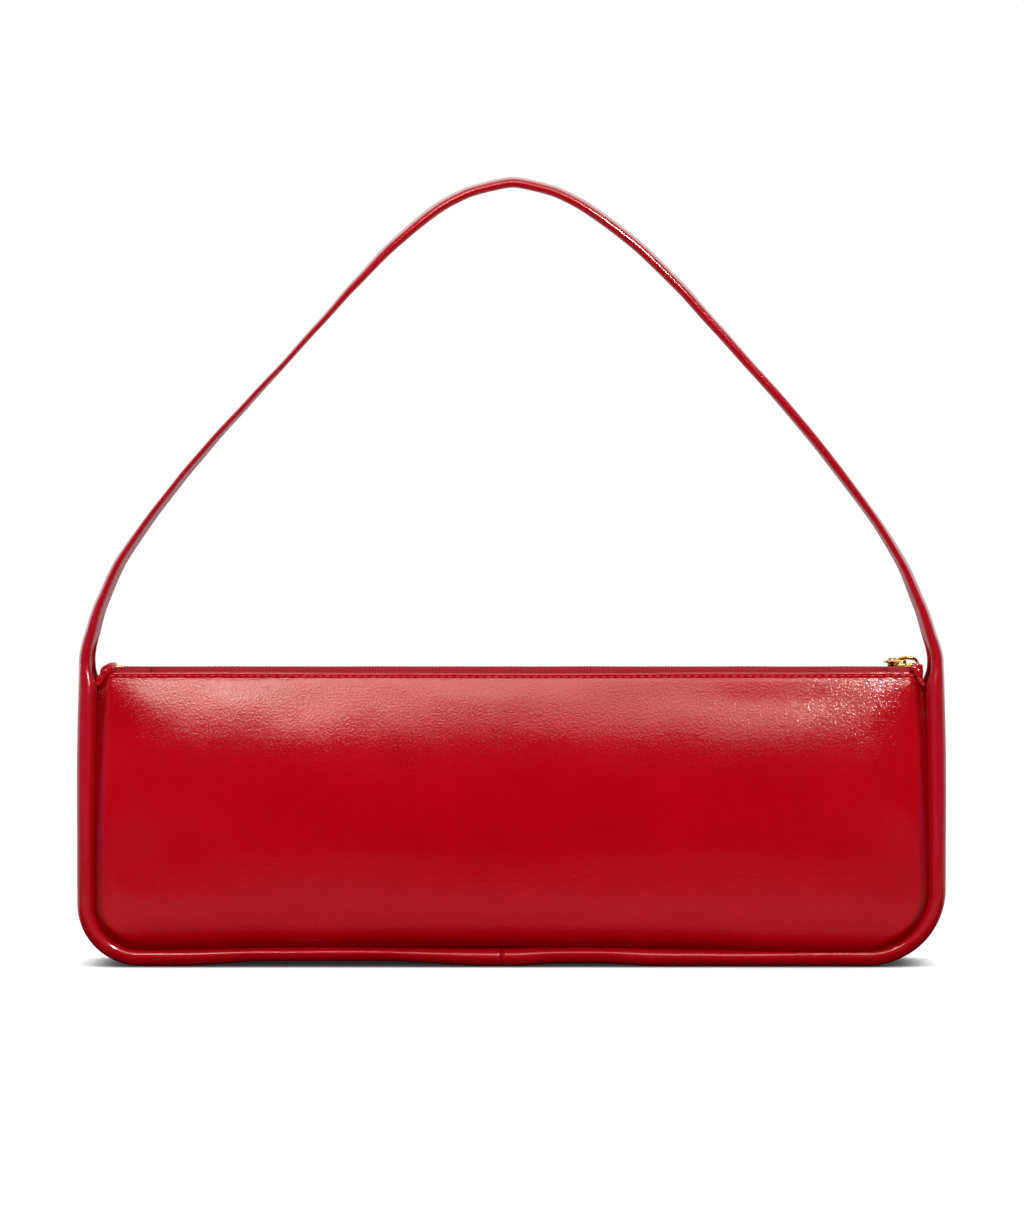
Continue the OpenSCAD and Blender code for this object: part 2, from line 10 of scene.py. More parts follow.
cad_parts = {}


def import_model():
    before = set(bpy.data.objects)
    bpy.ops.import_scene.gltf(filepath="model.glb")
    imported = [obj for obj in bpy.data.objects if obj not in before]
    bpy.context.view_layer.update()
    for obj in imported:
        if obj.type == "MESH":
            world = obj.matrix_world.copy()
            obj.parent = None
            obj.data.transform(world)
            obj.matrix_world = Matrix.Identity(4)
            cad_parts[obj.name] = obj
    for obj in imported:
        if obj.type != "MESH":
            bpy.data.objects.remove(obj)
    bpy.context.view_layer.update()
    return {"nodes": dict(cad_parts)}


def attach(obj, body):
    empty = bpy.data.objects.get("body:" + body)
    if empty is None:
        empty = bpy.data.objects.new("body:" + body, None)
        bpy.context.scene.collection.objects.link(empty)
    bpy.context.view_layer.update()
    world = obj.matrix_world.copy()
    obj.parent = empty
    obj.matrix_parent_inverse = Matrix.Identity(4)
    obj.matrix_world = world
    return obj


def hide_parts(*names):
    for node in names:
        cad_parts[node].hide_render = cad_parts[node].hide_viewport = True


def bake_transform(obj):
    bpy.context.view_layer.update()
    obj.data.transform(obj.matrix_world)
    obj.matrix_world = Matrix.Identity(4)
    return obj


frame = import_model()

MM = 0.001
NO_MERGE = 1e-8
SIDES = (("front", False), ("back", True))
WAVE_TURN = 6.283

# The body of the bag.
HALF_L = 174.0
BODY_H = 117.8
BELLY_Z = 45.0
BELLY_Y = 31.0
TOP_Y = 8.6
SEAM_X = -4.0
GUSSET_TOP = 109.5

# The rolled rim, and its radius at the outer corners of the base.
RIM_W = 7.7
RIM_Z = 40.0
RIM_Y = 28.5
RIM_TOP_Y = 12.5
LEFT_CORNER_R = 25.0
RIGHT_CORNER_R = 31.0

# The crease round each panel, with the height of the panel's lower edge and its corner radii.
CREASE = 3.5
CREASE_X = 167.5
CREASE_Z = 8.2
LOW_LEFT = 6.4
LOW_RIGHT = 4.8
LOW_MIDDLE = 7.8
LEFT_PANEL_R = 19.0
RIGHT_PANEL_R = 26.0

# Leather, hem and stitches.
LEATHER = 1.3
HEM_H = 11.0
STITCH_Z = BODY_H - 1.6
STITCH_PITCH = 3.1

# The strap, from its roots to its crown.
ROOT_Z = GUSSET_TOP - 2
ROOT_T = 4.6
FOLD_Z = 121.0
STRAP_W = 22.0
CROWN_Z = 316.6

# The zip, its slider, ring and tab.
TAPE_Z = 118.85
TOOTH_PITCH = 2.36
STOP_X = -157.5
TEETH_X0 = STOP_X + TOOTH_PITCH / 2
FLAP_X0 = -145.9
FLAP_X1 = 150.9
WEDGE_X = 162.1
SLIDER_X = 160.4
PLATE_TOP = 120.85
RING_X = 155.95
RING_Z = 121.85
RING_WIRE_R = 0.55
EYE_Y = 8.05
EYE_OUTER_R = 1.52
EYE_BORE_R = 0.8
EYE_HALF_W = 2.05


def smooth(t):
    t = min(1.0, max(0.0, t))
    return t * t * (3 - 2 * t)


def between(a, b, t):
    return a + (b - a) * t


def bell(x, middle, width):
    return math.exp(-((x - middle) / width) ** 2)


def rim_y(z):
    """How far the ridge of the rolled rim stands from the bag's middle plane."""
    if z > RIM_Z:
        share = (min(z, BODY_H) - RIM_Z) ** 1.6 / (BODY_H - RIM_Z) ** 1.6
        return RIM_TOP_Y + (RIM_Y - RIM_TOP_Y) * (1 - share)
    return RIM_Y - 3.5 * ((RIM_Z - z) / RIM_Z) ** 2


def middle_y(z):
    """The panel's profile halfway along the bag."""
    if z > BELLY_Z:
        share = (min(z, BODY_H) - BELLY_Z) / (BODY_H - BELLY_Z)
        return TOP_Y + (BELLY_Y - TOP_Y) * (1 - share ** 1.7)
    low = rim_y(CREASE_Z) - CREASE
    return low + (BELLY_Y - low) * math.sqrt(max(0, 1 - ((BELLY_Z - z) / (BELLY_Z - CREASE_Z)) ** 2.6))


def low_edge(x):
    """Height of the panel's lower edge at x, and the radius of its corner at that end of the bag."""
    r = LEFT_PANEL_R if x < 0 else RIGHT_PANEL_R
    return between(LOW_LEFT, LOW_RIGHT, smooth((x + 60) / 120)), r


def panel_x(z, side=1, inset=0.0):
    """Half the panel's length at a height, less an inset."""
    low, r = low_edge(side * CREASE_X)
    if z > low + r:
        return CREASE_X - inset
    return CREASE_X - r + math.sqrt(max(0, (r - inset) ** 2 - (low + r - z) ** 2))


def edge_distance(x, z):
    """How far a place on the panel is from the crease round it."""
    low, r = low_edge(x)
    dx = CREASE_X - abs(x)
    dz = z - low
    if dx < r and dz < r:
        return max(0.0, r - math.hypot(r - dx, r - dz))
    return max(0.0, min(dx, dz))


def edge_roll(x, z):
    return math.sqrt(1 - (1 - min(1.0, edge_distance(x, z) / 5.5)) ** 2)


def face_y(x, z):
    """How far the stuffed panel stands out: a full belly that rolls over tightly into the crease."""
    s = min(1.0, abs(x) / CREASE_X)
    high = bell(z, 94, 27)
    crease = rim_y(z) - 3.9 - 0.9 * smooth((z - 98) / 20) - 1.6 * high
    lower = (LOW_LEFT - low_edge(x)[0]) * smooth((BELLY_Z - z) / 20)
    belly = middle_y(max(z + lower, CREASE_Z + 2))
    shoulder = crease + min(2.3, max(0.9, belly - crease - 0.4))
    full = 1.7 * (1 - s ** 4) * bell(z, 86, 26) + belly
    round_off = 2.6 * max(0.0, 1 - (CREASE_X - abs(x)) / 25) ** 2 * high
    body = shoulder + (full - shoulder) * math.sqrt(1 - s ** 6) - round_off
    return crease + (body - crease) * edge_roll(x, z)


def corner_dip(x, z):
    """How far the panel's top corners are drawn down to the strap's roots, in mm."""
    drop = 5.6 * smooth((x - 160.8) / 5) + 3.4 * smooth((-161.5 - x) / 4.3)
    return drop * smooth((z - 92) / 24)


def belly_lift(x, z):
    """Between its ends the panel's lower edge stands higher, in mm."""
    middle = smooth((x + 140) / 50) if x < 0 else smooth((130 - x) / 90)
    return middle * (LOW_MIDDLE - low_edge(x)[0]) * smooth((34 - z) / 28)


def wave(x, z, size, seed):
    return noise.noise(Vector((x / size, z / size, seed)))


def mesh_from(bm, name):
    mesh = bpy.data.meshes.new(name)
    bm.to_mesh(mesh)
    bm.free()
    return mesh


def placed(name, data):
    item = bpy.data.objects.new(name, data)
    bpy.context.scene.collection.objects.link(item)
    return item


def finish_piece(bm, name, material, body, nodes, merge=1e-6):
    """Closes, smooths and names a piece; it rides on the body, or stays unattached if that is None."""
    bmesh.ops.remove_doubles(bm, verts=bm.verts, dist=merge)
    open_edges = [e for e in bm.edges if e.is_boundary]
    if open_edges:
        bmesh.ops.holes_fill(bm, edges=open_edges)
    bmesh.ops.recalc_face_normals(bm, faces=bm.faces)
    for face in bm.faces:
        face.smooth = True
    piece = placed(name, mesh_from(bm, name))
    piece.data.materials.append(material)
    if body:
        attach(piece, body)
    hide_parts(*nodes)
    return piece


def grid(across, along, place):
    """A grid of quads whose corners go where place(u, v) says, in mm."""
    bm = bmesh.new()
    bmesh.ops.create_grid(bm, x_segments=across, y_segments=along, size=1)
    for corner in bm.verts:
        u = (corner.co.x + 1) / 2
        v = (corner.co.y + 1) / 2
        corner.co = Vector(place(u, v)) * MM
    return bm


def skinned(rings, turn=1):
    """A skin of quads over closed rings of points in mm; turn is -1 to mirror them to the front."""
    count = len(rings) - 1
    around = len(rings[0])

    def place(u, v):
        x, y, z = rings[round(u * count)][round(v * around) % around]
        return (x, y * turn, z)
    return grid(count, around, place)


def two_skins(across, along, at, near, far):
    """Both faces of a thin part, each where at(u, v, depth) says."""
    bm = grid(across, along, lambda u, v: at(u, v, near))
    add_part(bm, grid(across, along, lambda u, v: at(u, v, far)))
    return bm


def add_part(parts, one):
    bmesh.ops.recalc_face_normals(one, faces=one.faces)
    keep = mesh_from(one, "part")
    parts.from_mesh(keep)
    bpy.data.meshes.remove(keep)


def bevelled(size, offset, segments=2):
    """A block with bevelled edges round the origin."""
    one = bmesh.new()
    bmesh.ops.create_cube(one, size=1)
    bmesh.ops.scale(one, verts=one.verts, vec=size)
    bevel(one, list(one.edges), offset, segments)
    return one


def bevel(one, edges, offset, segments):
    bmesh.ops.bevel(
        one, geom=edges, offset=offset, segments=segments, profile=0.5, affect="EDGES", material=-1
    )


def add_block(parts, size, middle, offset, segments=2):
    one = bevelled(size, offset, segments)
    for corner in one.verts:
        corner.co = (corner.co + Vector(middle)) * MM
    add_part(parts, one)


def evened(points, count):
    """The same open line with its points at even distances, rounded by a spline."""
    smooth_line = []
    for i in range(len(points) - 1):
        a = Vector(points[max(i - 1, 0)])
        b = Vector(points[i])
        c = Vector(points[i + 1])
        d = Vector(points[min(i + 2, len(points) - 1)])
        for k in range(8):
            t = k / 8
            turn = b * 2 + (c - a) * t + (a * 2 - b * 5 + c * 4 - d) * t * t
            smooth_line.append((turn + (b * 3 - a - c * 3 + d) * t ** 3) * 0.5)
    smooth_line.append(Vector(points[-1]))
    far = [0.0]
    for a, b in zip(smooth_line, smooth_line[1:]):
        far.append(far[-1] + (b - a).length)
    out = []
    j = 0
    for i in range(count):
        want = far[-1] * i / (count - 1)
        while j < len(far) - 2 and far[j + 1] < want:
            j += 1
        k = (want - far[j]) / max(far[j + 1] - far[j], 1e-9)
        out.append(smooth_line[j].lerp(smooth_line[j + 1], k))
    return out


class Nodes:
    """Short ways to add nodes. An input gets a number, a colour or the socket it is joined to."""

    def __init__(self, owner):
        owner.use_nodes = True
        self.tree = owner.node_tree

    def add(self, kind, inputs=(), **settings):
        node = self.tree.nodes.new(kind)
        for key, value in settings.items():
            setattr(node, key, value)
        self.fill(node, dict(inputs))
        return node

    def fill(self, node, inputs):
        for key, value in inputs.items():
            if isinstance(value, bpy.types.NodeSocket):
                self.tree.links.new(value, node.inputs[key])
            else:
                node.inputs[key].default_value = value

    def span(self, source, low, high, to_low, to_high, shape="LINEAR"):
        """A value between low and high, moved to between to_low and to_high."""
        inputs = {"Value": source, "From Min": low, "From Max": high, "To Min": to_low, "To Max": to_high}
        return self.add("ShaderNodeMapRange", inputs, interpolation_type=shape).outputs["Result"]

    def reckon(self, operation, *inputs):
        return self.add("ShaderNodeMath", enumerate(inputs), operation=operation).outputs["Value"]


class Finish(Nodes):
    """A material's nodes. Sizes are those of the pattern, in mm."""

    def __init__(self, name):
        self.material = bpy.data.materials.new(name)
        super().__init__(self.material)
        self.shader = self.tree.nodes["Principled BSDF"]
        self.place = self.add("ShaderNodeTexCoord").outputs["Object"]

    def mapped(self, socket, value):
        """The piece's own coordinates, scaled or turned."""
        return self.add("ShaderNodeMapping", {"Vector": self.place, socket: value}).outputs["Vector"]

    def noise(self, size, detail=3.0, rough=0.5, place=None):
        inputs = {"Vector": place or self.place, "Scale": 1000 / size, "Detail": detail, "Roughness": rough}
        return self.add("ShaderNodeTexNoise", inputs).outputs["Fac"]

    def cells(self, size):
        inputs = {"Vector": self.place, "Scale": 1000 / size}
        return self.add("ShaderNodeTexVoronoi", inputs, feature="F1").outputs["Distance"]

    def bands(self, size, distortion=0.0, place=None):
        inputs = {"Vector": place or self.place, "Scale": 1000 / size / WAVE_TURN, "Distortion": distortion}
        return self.add("ShaderNodeTexWave", inputs, wave_type="BANDS", bands_direction="X").outputs["Fac"]

    def ramp(self, source, stops):
        node = self.add("ShaderNodeValToRGB", {"Fac": source})
        for element, (at, color) in zip(node.color_ramp.elements, stops):
            element.position = at
            element.color = (*color, 1)
        return node.outputs["Color"]

    def total(self, a, b, share):
        """a plus a share of b."""
        return self.reckon("MULTIPLY_ADD", b, share, a)

    def bump(self, source, height, strength, **under):
        inputs = {"Height": source, "Strength": strength, "Distance": height * MM, **under}
        return self.add("ShaderNodeBump", inputs).outputs["Normal"]

    def wear(self, color, roughness, normal, **values):
        """Gives the material, with these on its shader."""
        self.fill(self.shader, {"Base Color": color, "Roughness": roughness, "Normal": normal})
        self.fill(self.shader, {key.replace("_", " "): value for key, value in values.items()})
        return self.material


def glossy_leather(name, dark, light, grain=1.0, rough=0.085):
    """Smooth box calf: cell-like grain, a few fine wrinkles, and cloudy colour, darkened beside the panel's
    creases as painted shade.
    """
    skin = Finish(name)
    # The crease attribute marks where the colour is darkened as painted shade.
    crease = skin.add("ShaderNodeAttribute", attribute_name="crease").outputs["Fac"]
    clouds = skin.ramp(skin.noise(38, 4, 0.55), [(0.3, dark), (0.7, light)])
    painted_shade = skin.span(crease, 0.0, 1.0, 1.0, 0.52)
    color = skin.add("ShaderNodeHueSaturation", {"Value": painted_shade, "Color": clouds}).outputs["Color"]
    wrinkled = skin.total(skin.cells(0.75), skin.noise(0.9, 2, 0.5), 0.6)
    height = skin.total(wrinkled, skin.noise(0.45, 2, 0.6), 0.35)
    fine = skin.bump(height, 0.11 * grain, 0.55)
    normal = skin.bump(skin.noise(14, 2, 0.5), 0.25 * grain, 0.3, Normal=fine)
    roughness = skin.span(skin.noise(6, 3, 0.6), 0.3, 0.7, rough, rough + 0.05)
    return skin.wear(color, roughness, normal, IOR=1.47)


def ribbed_tape(name):
    """Woven zip tape, with fine ribs along it."""
    cloth = Finish(name)
    weave = cloth.total(cloth.bands(0.62, 0.6), cloth.noise(0.35, 2, 0.6), 0.7)
    color = cloth.ramp(weave, [(0.25, (0.2, 0.003, 0.008)), (0.95, (0.42, 0.01, 0.02))])
    fuzz = {"Specular_IOR_Level": 0.2, "Sheen_Weight": 0.04, "Sheen_Roughness": 0.4}
    return cloth.wear(color, 0.8, cloth.bump(weave, 0.12, 0.7), **fuzz)


def twill(name, dark, light):
    """Fine lining twill with diagonal ribs."""
    cloth = Finish(name)
    diagonal = cloth.mapped("Rotation", (0.0, math.radians(38), 0.0))
    weave = cloth.total(cloth.bands(0.45, 0.8, diagonal), cloth.noise(0.4, 2, 0.6), 0.5)
    color = cloth.ramp(weave, [(0.2, dark), (0.9, light)])
    folds = cloth.bump(cloth.noise(26, 3, 0.5), 1.2, 0.3)
    return cloth.wear(color, 0.85, cloth.bump(weave, 0.08, 0.6, Normal=folds), Sheen_Weight=0.2)


def sewing_thread(name):
    yarn = Finish(name)
    twist = yarn.bands(0.32, 0.0, yarn.mapped("Rotation", (0.0, math.radians(52), 0.0)))
    color = yarn.ramp(twist, [(0.1, (0.42, 0.006, 0.014)), (0.9, (0.62, 0.02, 0.035))])
    return yarn.wear(color, 0.42, yarn.bump(twist, 0.06, 0.8), Sheen_Weight=0.2)


def plated_gold(name, dark, light, rough_low, rough_high):
    """Plated metal with faint wear, darker where it is handled less."""
    metal = Finish(name)
    color = metal.ramp(metal.noise(2.2, 4, 0.6), [(0.3, dark), (0.7, light)])
    roughness = metal.span(metal.noise(0.9, 3, 0.6), 0.3, 0.7, rough_low, rough_high)
    return metal.wear(color, roughness, metal.bump(metal.noise(0.35, 3, 0.6), 0.02, 0.35), Metallic=1.0)


def soft_filling(name, color_low, color_high, size):
    filling = Finish(name)
    bubbles = filling.cells(size)
    color = filling.ramp(bubbles, [(0.1, color_low), (0.7, color_high)])
    return filling.wear(color, 0.95, filling.bump(bubbles, 0.3, 0.6))


def pressed_board(name):
    board = Finish(name)
    fibres = board.noise(1.6, 5, 0.7, board.mapped("Scale", (0.3, 1.0, 1.0)))
    color = board.ramp(fibres, [(0.3, (0.07, 0.06, 0.05)), (0.7, (0.16, 0.14, 0.12))])
    return board.wear(color, 0.9, board.bump(fibres, 0.15, 0.5))


RED_LEATHER = glossy_leather("red_box_calf", (0.43, 0.0004, 0.004), (0.5, 0.0008, 0.0065))
EDGE_REDS = ((0.43, 0.0006, 0.007), (0.49, 0.0012, 0.01))
RIM_LEATHER = glossy_leather("red_rim_leather", *EDGE_REDS, 0.2, 0.16)
STRAP_LEATHER = glossy_leather("red_strap_leather", *EDGE_REDS, 0.3, 0.34)
ZIP_TAPE = ribbed_tape("red_zip_tape")
LINING = twill("dark_red_twill", (0.06, 0.003, 0.008), (0.16, 0.008, 0.018))
THREAD = sewing_thread("red_thread")
GOLD = plated_gold("pale_gold_plate", (0.55, 0.32, 0.09), (0.78, 0.52, 0.2), 0.12, 0.24)
OLD_GOLD = plated_gold("brushed_tooth_metal", (0.34, 0.17, 0.06), (0.6, 0.36, 0.14), 0.28, 0.45)
FOAM = soft_filling("white_foam", (0.6, 0.58, 0.52), (0.85, 0.82, 0.76), 0.9)
CORD_FILL = soft_filling("cotton_filler", (0.62, 0.58, 0.5), (0.86, 0.82, 0.72), 0.5)
BOARD = pressed_board("fibreboard")


def panel_swell(x, z, seed):
    """How far the stuffed leather stands out of its even form at a place, in mm."""
    edge = min(1.0, edge_distance(x, z) / 14)
    top = smooth((BODY_H - 3 - z) / 10)
    broad = 0.75 * wave(x, z * 1.6, 74, seed) + 0.3 * wave(x * 1.3, z, 34, seed + 3)
    drape = 0.22 * wave(x, z * 0.35, 15, seed + 7) * bell(z, 106, 13)
    pucker = 0.12 * wave(x, z * 0.2, 5.5, seed + 11) * bell(z, 112, 5)
    end_folds = 0.35 * wave(x * 0.8 + z * 0.5, z, 17, seed + 17) * bell(abs(x), 154, 16)
    return edge * top * (broad + drape + pucker + end_folds)


def hem_face(x, z):
    """The outer face near the fold stands upright down to the stitches and then bulges."""
    upright = face_y(x, BODY_H - 2.6) - 0.12
    if z >= STITCH_Z:
        return upright
    if z > STITCH_Z - 1.6:
        t = (STITCH_Z - z) / 1.6
        return between(upright, face_y(x, STITCH_Z - 1.6), smooth(t)) - 0.16 * math.sin(math.pi * t)
    return face_y(x, z)


def top_line(x, seed):
    """The fold's height: it dips a little between the ends."""
    dip = 0.55 * smooth(1 - abs(x + 10) / 150) * bell(x, 40, 120)
    return BODY_H - dip + 0.22 * wave(x, 0, 46, seed + 21)


FACE_TOP = BODY_H - 4
FOLD_START = BODY_H - 1.0
FACE_ROWS = 86
UPRIGHT_ROWS = 12
FOLD_ROWS = 8
HEM_ROWS = 7
INNER_ROWS = 25
PANEL_COLUMNS = 250


def outer_line(half, low, seed):
    """The panel's face, from the crease up to just below the fold."""
    line = []
    for i in range(FACE_ROWS + 1):
        t = i / FACE_ROWS
        z = low + (FACE_TOP - low) * (0.6 * t ** 2.2 + 0.4 * t)
        x = half(z)
        line.append((x, hem_face(x, z) + panel_swell(x, z, seed), z))
    return line


def fold_line(x, lift):
    """The upright end of the face, and the fold over the top."""
    line = []
    for i in range(1, UPRIGHT_ROWS + 1):
        z = FACE_TOP + 3.0 * i / UPRIGHT_ROWS
        line.append((x, hem_face(x, z), z + lift * smooth((z - FACE_TOP) / 3)))
    out = hem_face(x, BODY_H)
    for i in range(1, FOLD_ROWS + 1):
        a = math.pi * i / FOLD_ROWS
        line.append((x, out - LEATHER + LEATHER * math.cos(a), FOLD_START + lift + math.sin(a)))
    return line


def inner_line(half, low):
    """The turned-in hem and the inner face, down to the crease."""
    line = []
    for i in range(1, HEM_ROWS + 1):
        z = FOLD_START - (HEM_H - 1.5) * i / HEM_ROWS
        x = half(z)
        line.append((x, face_y(x, z) - 2 * LEATHER, z))
    top = BODY_H - HEM_H - 0.6
    for i in range(1, INNER_ROWS + 1):
        t = i / INNER_ROWS
        z = top + (low - top) * (0.6 * t + 0.4 * (1 - (1 - t) ** 2.2))
        x = half(z)
        line.append((x, face_y(x, z) - LEATHER, z))
    return line


def panel_section(column, seed):
    """The leather's line from its edge in the crease, up, over the fold and down inside."""
    side = -1 if column < 0.5 else 1
    reach = math.sin(math.pi * (column - 0.5))
    low = low_edge(CREASE_X * reach)[0]

    def half(z):
        return panel_x(z, side) * reach
    x = half(BODY_H)
    lift = top_line(x, seed) - BODY_H
    line = outer_line(half, low, seed) + fold_line(x, lift) + inner_line(half, low)
    return [(x, y, z - corner_dip(x, z) + belly_lift(x, z)) for x, y, z in line]


def panel(name, node, seed, back):
    lines = [panel_section(i / PANEL_COLUMNS, seed) for i in range(PANEL_COLUMNS + 1)]
    skin = skinned(lines, 1 if back else -1)
    piece = finish_piece(skin, name, RED_LEATHER, "bag_body", [node])
    # The strip beside the crease gets painted shade.
    paint_crease_shade(piece.data)


def paint_crease_shade(mesh):
    """Marks the strip of the panel beside its crease, where the leather's colour is darkened as painted
    shade.
    """
    painted_shade_marks = mesh.attributes.new("crease", "FLOAT", "POINT")
    for corner in mesh.vertices:
        x = corner.co.x / MM
        z = corner.co.z / MM
        far = edge_distance(x, z - belly_lift(x, z))
        painted_shade_marks.data[corner.index].value = 1 - smooth((far - 2.6) / 2.6)


# The band is gusset, rolled rim and strap in one strip. Its edges are pairs of depth and place across.
RIM_EDGE = [
    (0.0, -9.5), (0.0, -6.5), (0.1, -4.6), (0.55, -2.9), (1.5, -1.45), (2.7, -0.5), (3.7, -0.1),
    (4.3, 0.0), (4.9, -0.25), (5.8, -1.1), (6.7, -2.3), (7.35, -3.7), (7.65, -5.2), (7.4, -6.6),
    (6.0, -7.8), (2.2, -8.6), (1.3, -10.0)
]
STRAP_EDGE = [
    (0.0, -4.6), (0.0, -3.2), (0.02, -2.3), (0.07, -1.5), (0.16, -0.8), (0.28, -0.35), (0.42, -0.08),
    (0.5, 0.0), (0.6, -0.05), (0.72, -0.3), (0.85, -0.8), (0.94, -1.5), (0.99, -2.2), (1.0, -2.7),
    (0.97, -3.0), (0.8, -3.1), (0.72, -3.6)
]

# Tables of the strap's left and right leg by height: place beside its even course, thickness and lean.
LEFT_COURSE = [
    (121, 0.2), (134, 0.5), (147, -0.8), (163, -2.2), (179, -1.5), (196, -0.5), (212, 0.7),
    (228, 2.2), (244, 3.0), (261, 2.2), (277, 0.1), (293, -2.4), (309, -4.2), (314, -3.4), (318, 0.6)
]
RIGHT_COURSE = [
    (121, -0.3), (134, -1.3), (147, -0.3), (163, 1.4), (179, 1.8), (196, 1.4), (212, 1.3), (228, 1.1),
    (244, 0.7), (261, 1.7), (277, 3.6), (293, 5.0), (309, 5.0), (314, 4.3), (318, 0.6)
]
LEFT_THICK = [
    (121, 4.6), (135, 3.9), (150, 3.1), (170, 2.6), (190, 2.4), (215, 2.3), (245, 2.2), (262, 2.4),
    (277, 2.9), (291, 3.4), (307, 3.7), (318, 3.7)
]
RIGHT_THICK = [
    (121, 4.6), (135, 3.9), (150, 3.3), (165, 2.9), (180, 2.9), (200, 3.4), (230, 3.6), (262, 3.7),
    (291, 3.8), (318, 3.7)
]
LEFT_LEAN = [
    (121, 0.0), (160, 0.3), (200, 1.2), (230, 3.2), (245, 4.8), (260, 5.6), (275, 6.6), (291, 7.6),
    (307, 8.4), (318, 8.6)
]
RIGHT_LEAN = [
    (121, 0.0), (147, 1.2), (163, 2.6), (179, 3.0), (211, 3.4), (227, 4.0), (243, 5.0), (259, 6.6),
    (275, 7.6), (291, 8.0), (307, 8.4), (318, 8.6)
]


def from_table(table, z):
    """The value at height z, on a soft line through the table's pairs."""
    for (z0, a), (z1, b) in zip(table, table[1:]):
        if z <= z1:
            k = max(0.0, (z - z0) / (z1 - z0))
            return between(a, b, (smooth(k) + k) / 2)
    return table[-1][1]


def strap_shift(x, z):
    """How far the strap hangs beside its even course, in mm: it isn't quite the same on both sides."""
    course = LEFT_COURSE if x < 0 else RIGHT_COURSE
    return from_table(course, z) * smooth((z - 105) / 16)


def base_lift(x):
    """Where the base of the band arches clear of the surface it stands on."""
    left = 1.9 * smooth((x + 136) / 40) * smooth((SEAM_X - 3 - x) / 45)
    right = 1.2 * smooth((x - SEAM_X - 3) / 22) * smooth((58 - x) / 24)
    return left + right


Station = namedtuple("Station", "x z out_x out_z half thick strap lean")


def base_stations(side):
    """Places along half the band, from the seam in the base round the corner to the gusset's top."""
    r = LEFT_CORNER_R if side < 0 else RIGHT_CORNER_R
    places = [(between(0.0, HALF_L - r, i / 74), 0.0, 0.0, -1.0) for i in range(74)]
    for i in range(31):
        c = math.cos(math.radians(3 * i))
        s = math.sin(math.radians(3 * i))
        places.append((HALF_L - r + r * s, r - r * c, s, -c))
    places += [(HALF_L, between(r, ROOT_Z, i / 35), 1.0, 0.0) for i in range(1, 36)]
    return [Station(x, z, ox, oz, rim_y(z), RIM_W, 0.0, 0.0) for x, z, ox, oz in places]


def root_stations():
    """Places where the rim narrows into the strap."""
    line = []
    for i in range(1, 10):
        k = i / 10
        half = between(rim_y(ROOT_Z), STRAP_W / 2, k)
        thick = between(RIM_W, ROOT_T, smooth(k * 1.2))
        line.append(Station(HALF_L, between(ROOT_Z, FOLD_Z, k), 1.0, 0.0, half, thick, smooth(k), 0.0))
    return line


def leg_point(t):
    """The even course of a leg at share t, on a curve with four handles."""
    t = min(1.0, max(0.0, t))
    a = (1 - t) ** 3
    b = 3 * (1 - t) ** 2 * t
    crown = 3 * (1 - t) * t * t
    x = a * 171.2 + b * 177.5 + crown * 42.1
    return x, a * FOLD_Z + b * (FOLD_Z + 38.8) + (crown + t ** 3) * CROWN_Z


def leg_stations(side):
    """Places along one leg of the strap, up to the crown."""
    thicks = LEFT_THICK if side < 0 else RIGHT_THICK
    leans = LEFT_LEAN if side < 0 else RIGHT_LEAN
    line = []
    for i in range(121):
        t = i / 120
        x, z = leg_point(t)
        ax, az = leg_point(t - 0.002)
        bx, bz = leg_point(t + 0.002)
        way = Vector((bx - ax, bz - az)).normalized()
        way = Vector((0, 1)).lerp(way, smooth(t / 0.1)).normalized()
        x += 0.5 * max(0.0, 1 - t / 0.15)
        lean = math.radians(from_table(leans, z))
        thick = from_table(thicks, z)
        x += way.y * thick / 2
        z -= way.x * thick / 2
        line.append(Station(x, z, way.y, -way.x, STRAP_W / 2, thick, 1.0, lean))
    return line


def up_and_down(right, left):
    """Stations with their sides, up the right half of the band and down the left."""
    return [(s, 1) for s in right] + [(s, -1) for s in reversed(left)]


def from_left(left, right):
    """Stations with their sides, down from the gusset's top at the left and up at the right."""
    return [(s, -1) for s in reversed(left)] + [(s, 1) for s in right[1:]]


def ring_points(section, station, side):
    """A section of pairs of depth and place across, set up at a station, as points in mm."""
    c = math.cos(station.lean)
    s = math.sin(station.lean)
    out = Vector((station.out_x * c, -s, station.out_z * c))
    across = Vector((station.out_x * s, c, station.out_z * s))
    middle = Vector((station.x, 0.0, station.z))
    points = [middle - out * deep + across * wide for deep, wide in section]
    return [Vector((side * p.x, p.y, p.z)) for p in points]


def settle_band(point, station):
    """Small unevenness of a sewn strip, and the arch of its base."""
    out = point.copy()
    strap = station.strap
    low = smooth((12 - point.z) / 12) * (1 - strap)
    ridge_wave = 0.9 * wave(point.x + 300 * (point.y > 0), 0.0, 58, 13.0) * smooth((point.z - 1) / 4)
    out.z += low * (base_lift(point.x) + ridge_wave)
    if strap < 1:
        ridge = smooth((abs(point.y) - station.half + 6) / 5) * (1 - strap)
        ripple = 0.32 * wave(point.x + 400 * (point.y > 0), point.z, 26, 5.0)
        ripple += 0.14 * wave(point.x, point.z + 400 * (point.y > 0), 8, 9.0)
        out.y += math.copysign(ripple, point.y) * ridge
        sideways = math.copysign(station.out_x, point.x) if station.out_x else 0.0
        out -= Vector((sideways, 0.0, station.out_z)) * ripple * 0.5 * ridge
    wider = 0.9 * smooth((point.z - 40) / 60) * (1 - 0.5 * smooth((point.z - 108) / 20))
    out.x += math.copysign(wider * (1 - smooth((point.z - 125) / 40)), point.x) * (abs(point.x) > 120)
    out.x += strap_shift(point.x, station.z)
    return out


def settled_ring(section, station, side):
    return [settle_band(p, station) for p in ring_points(section, station, side)]


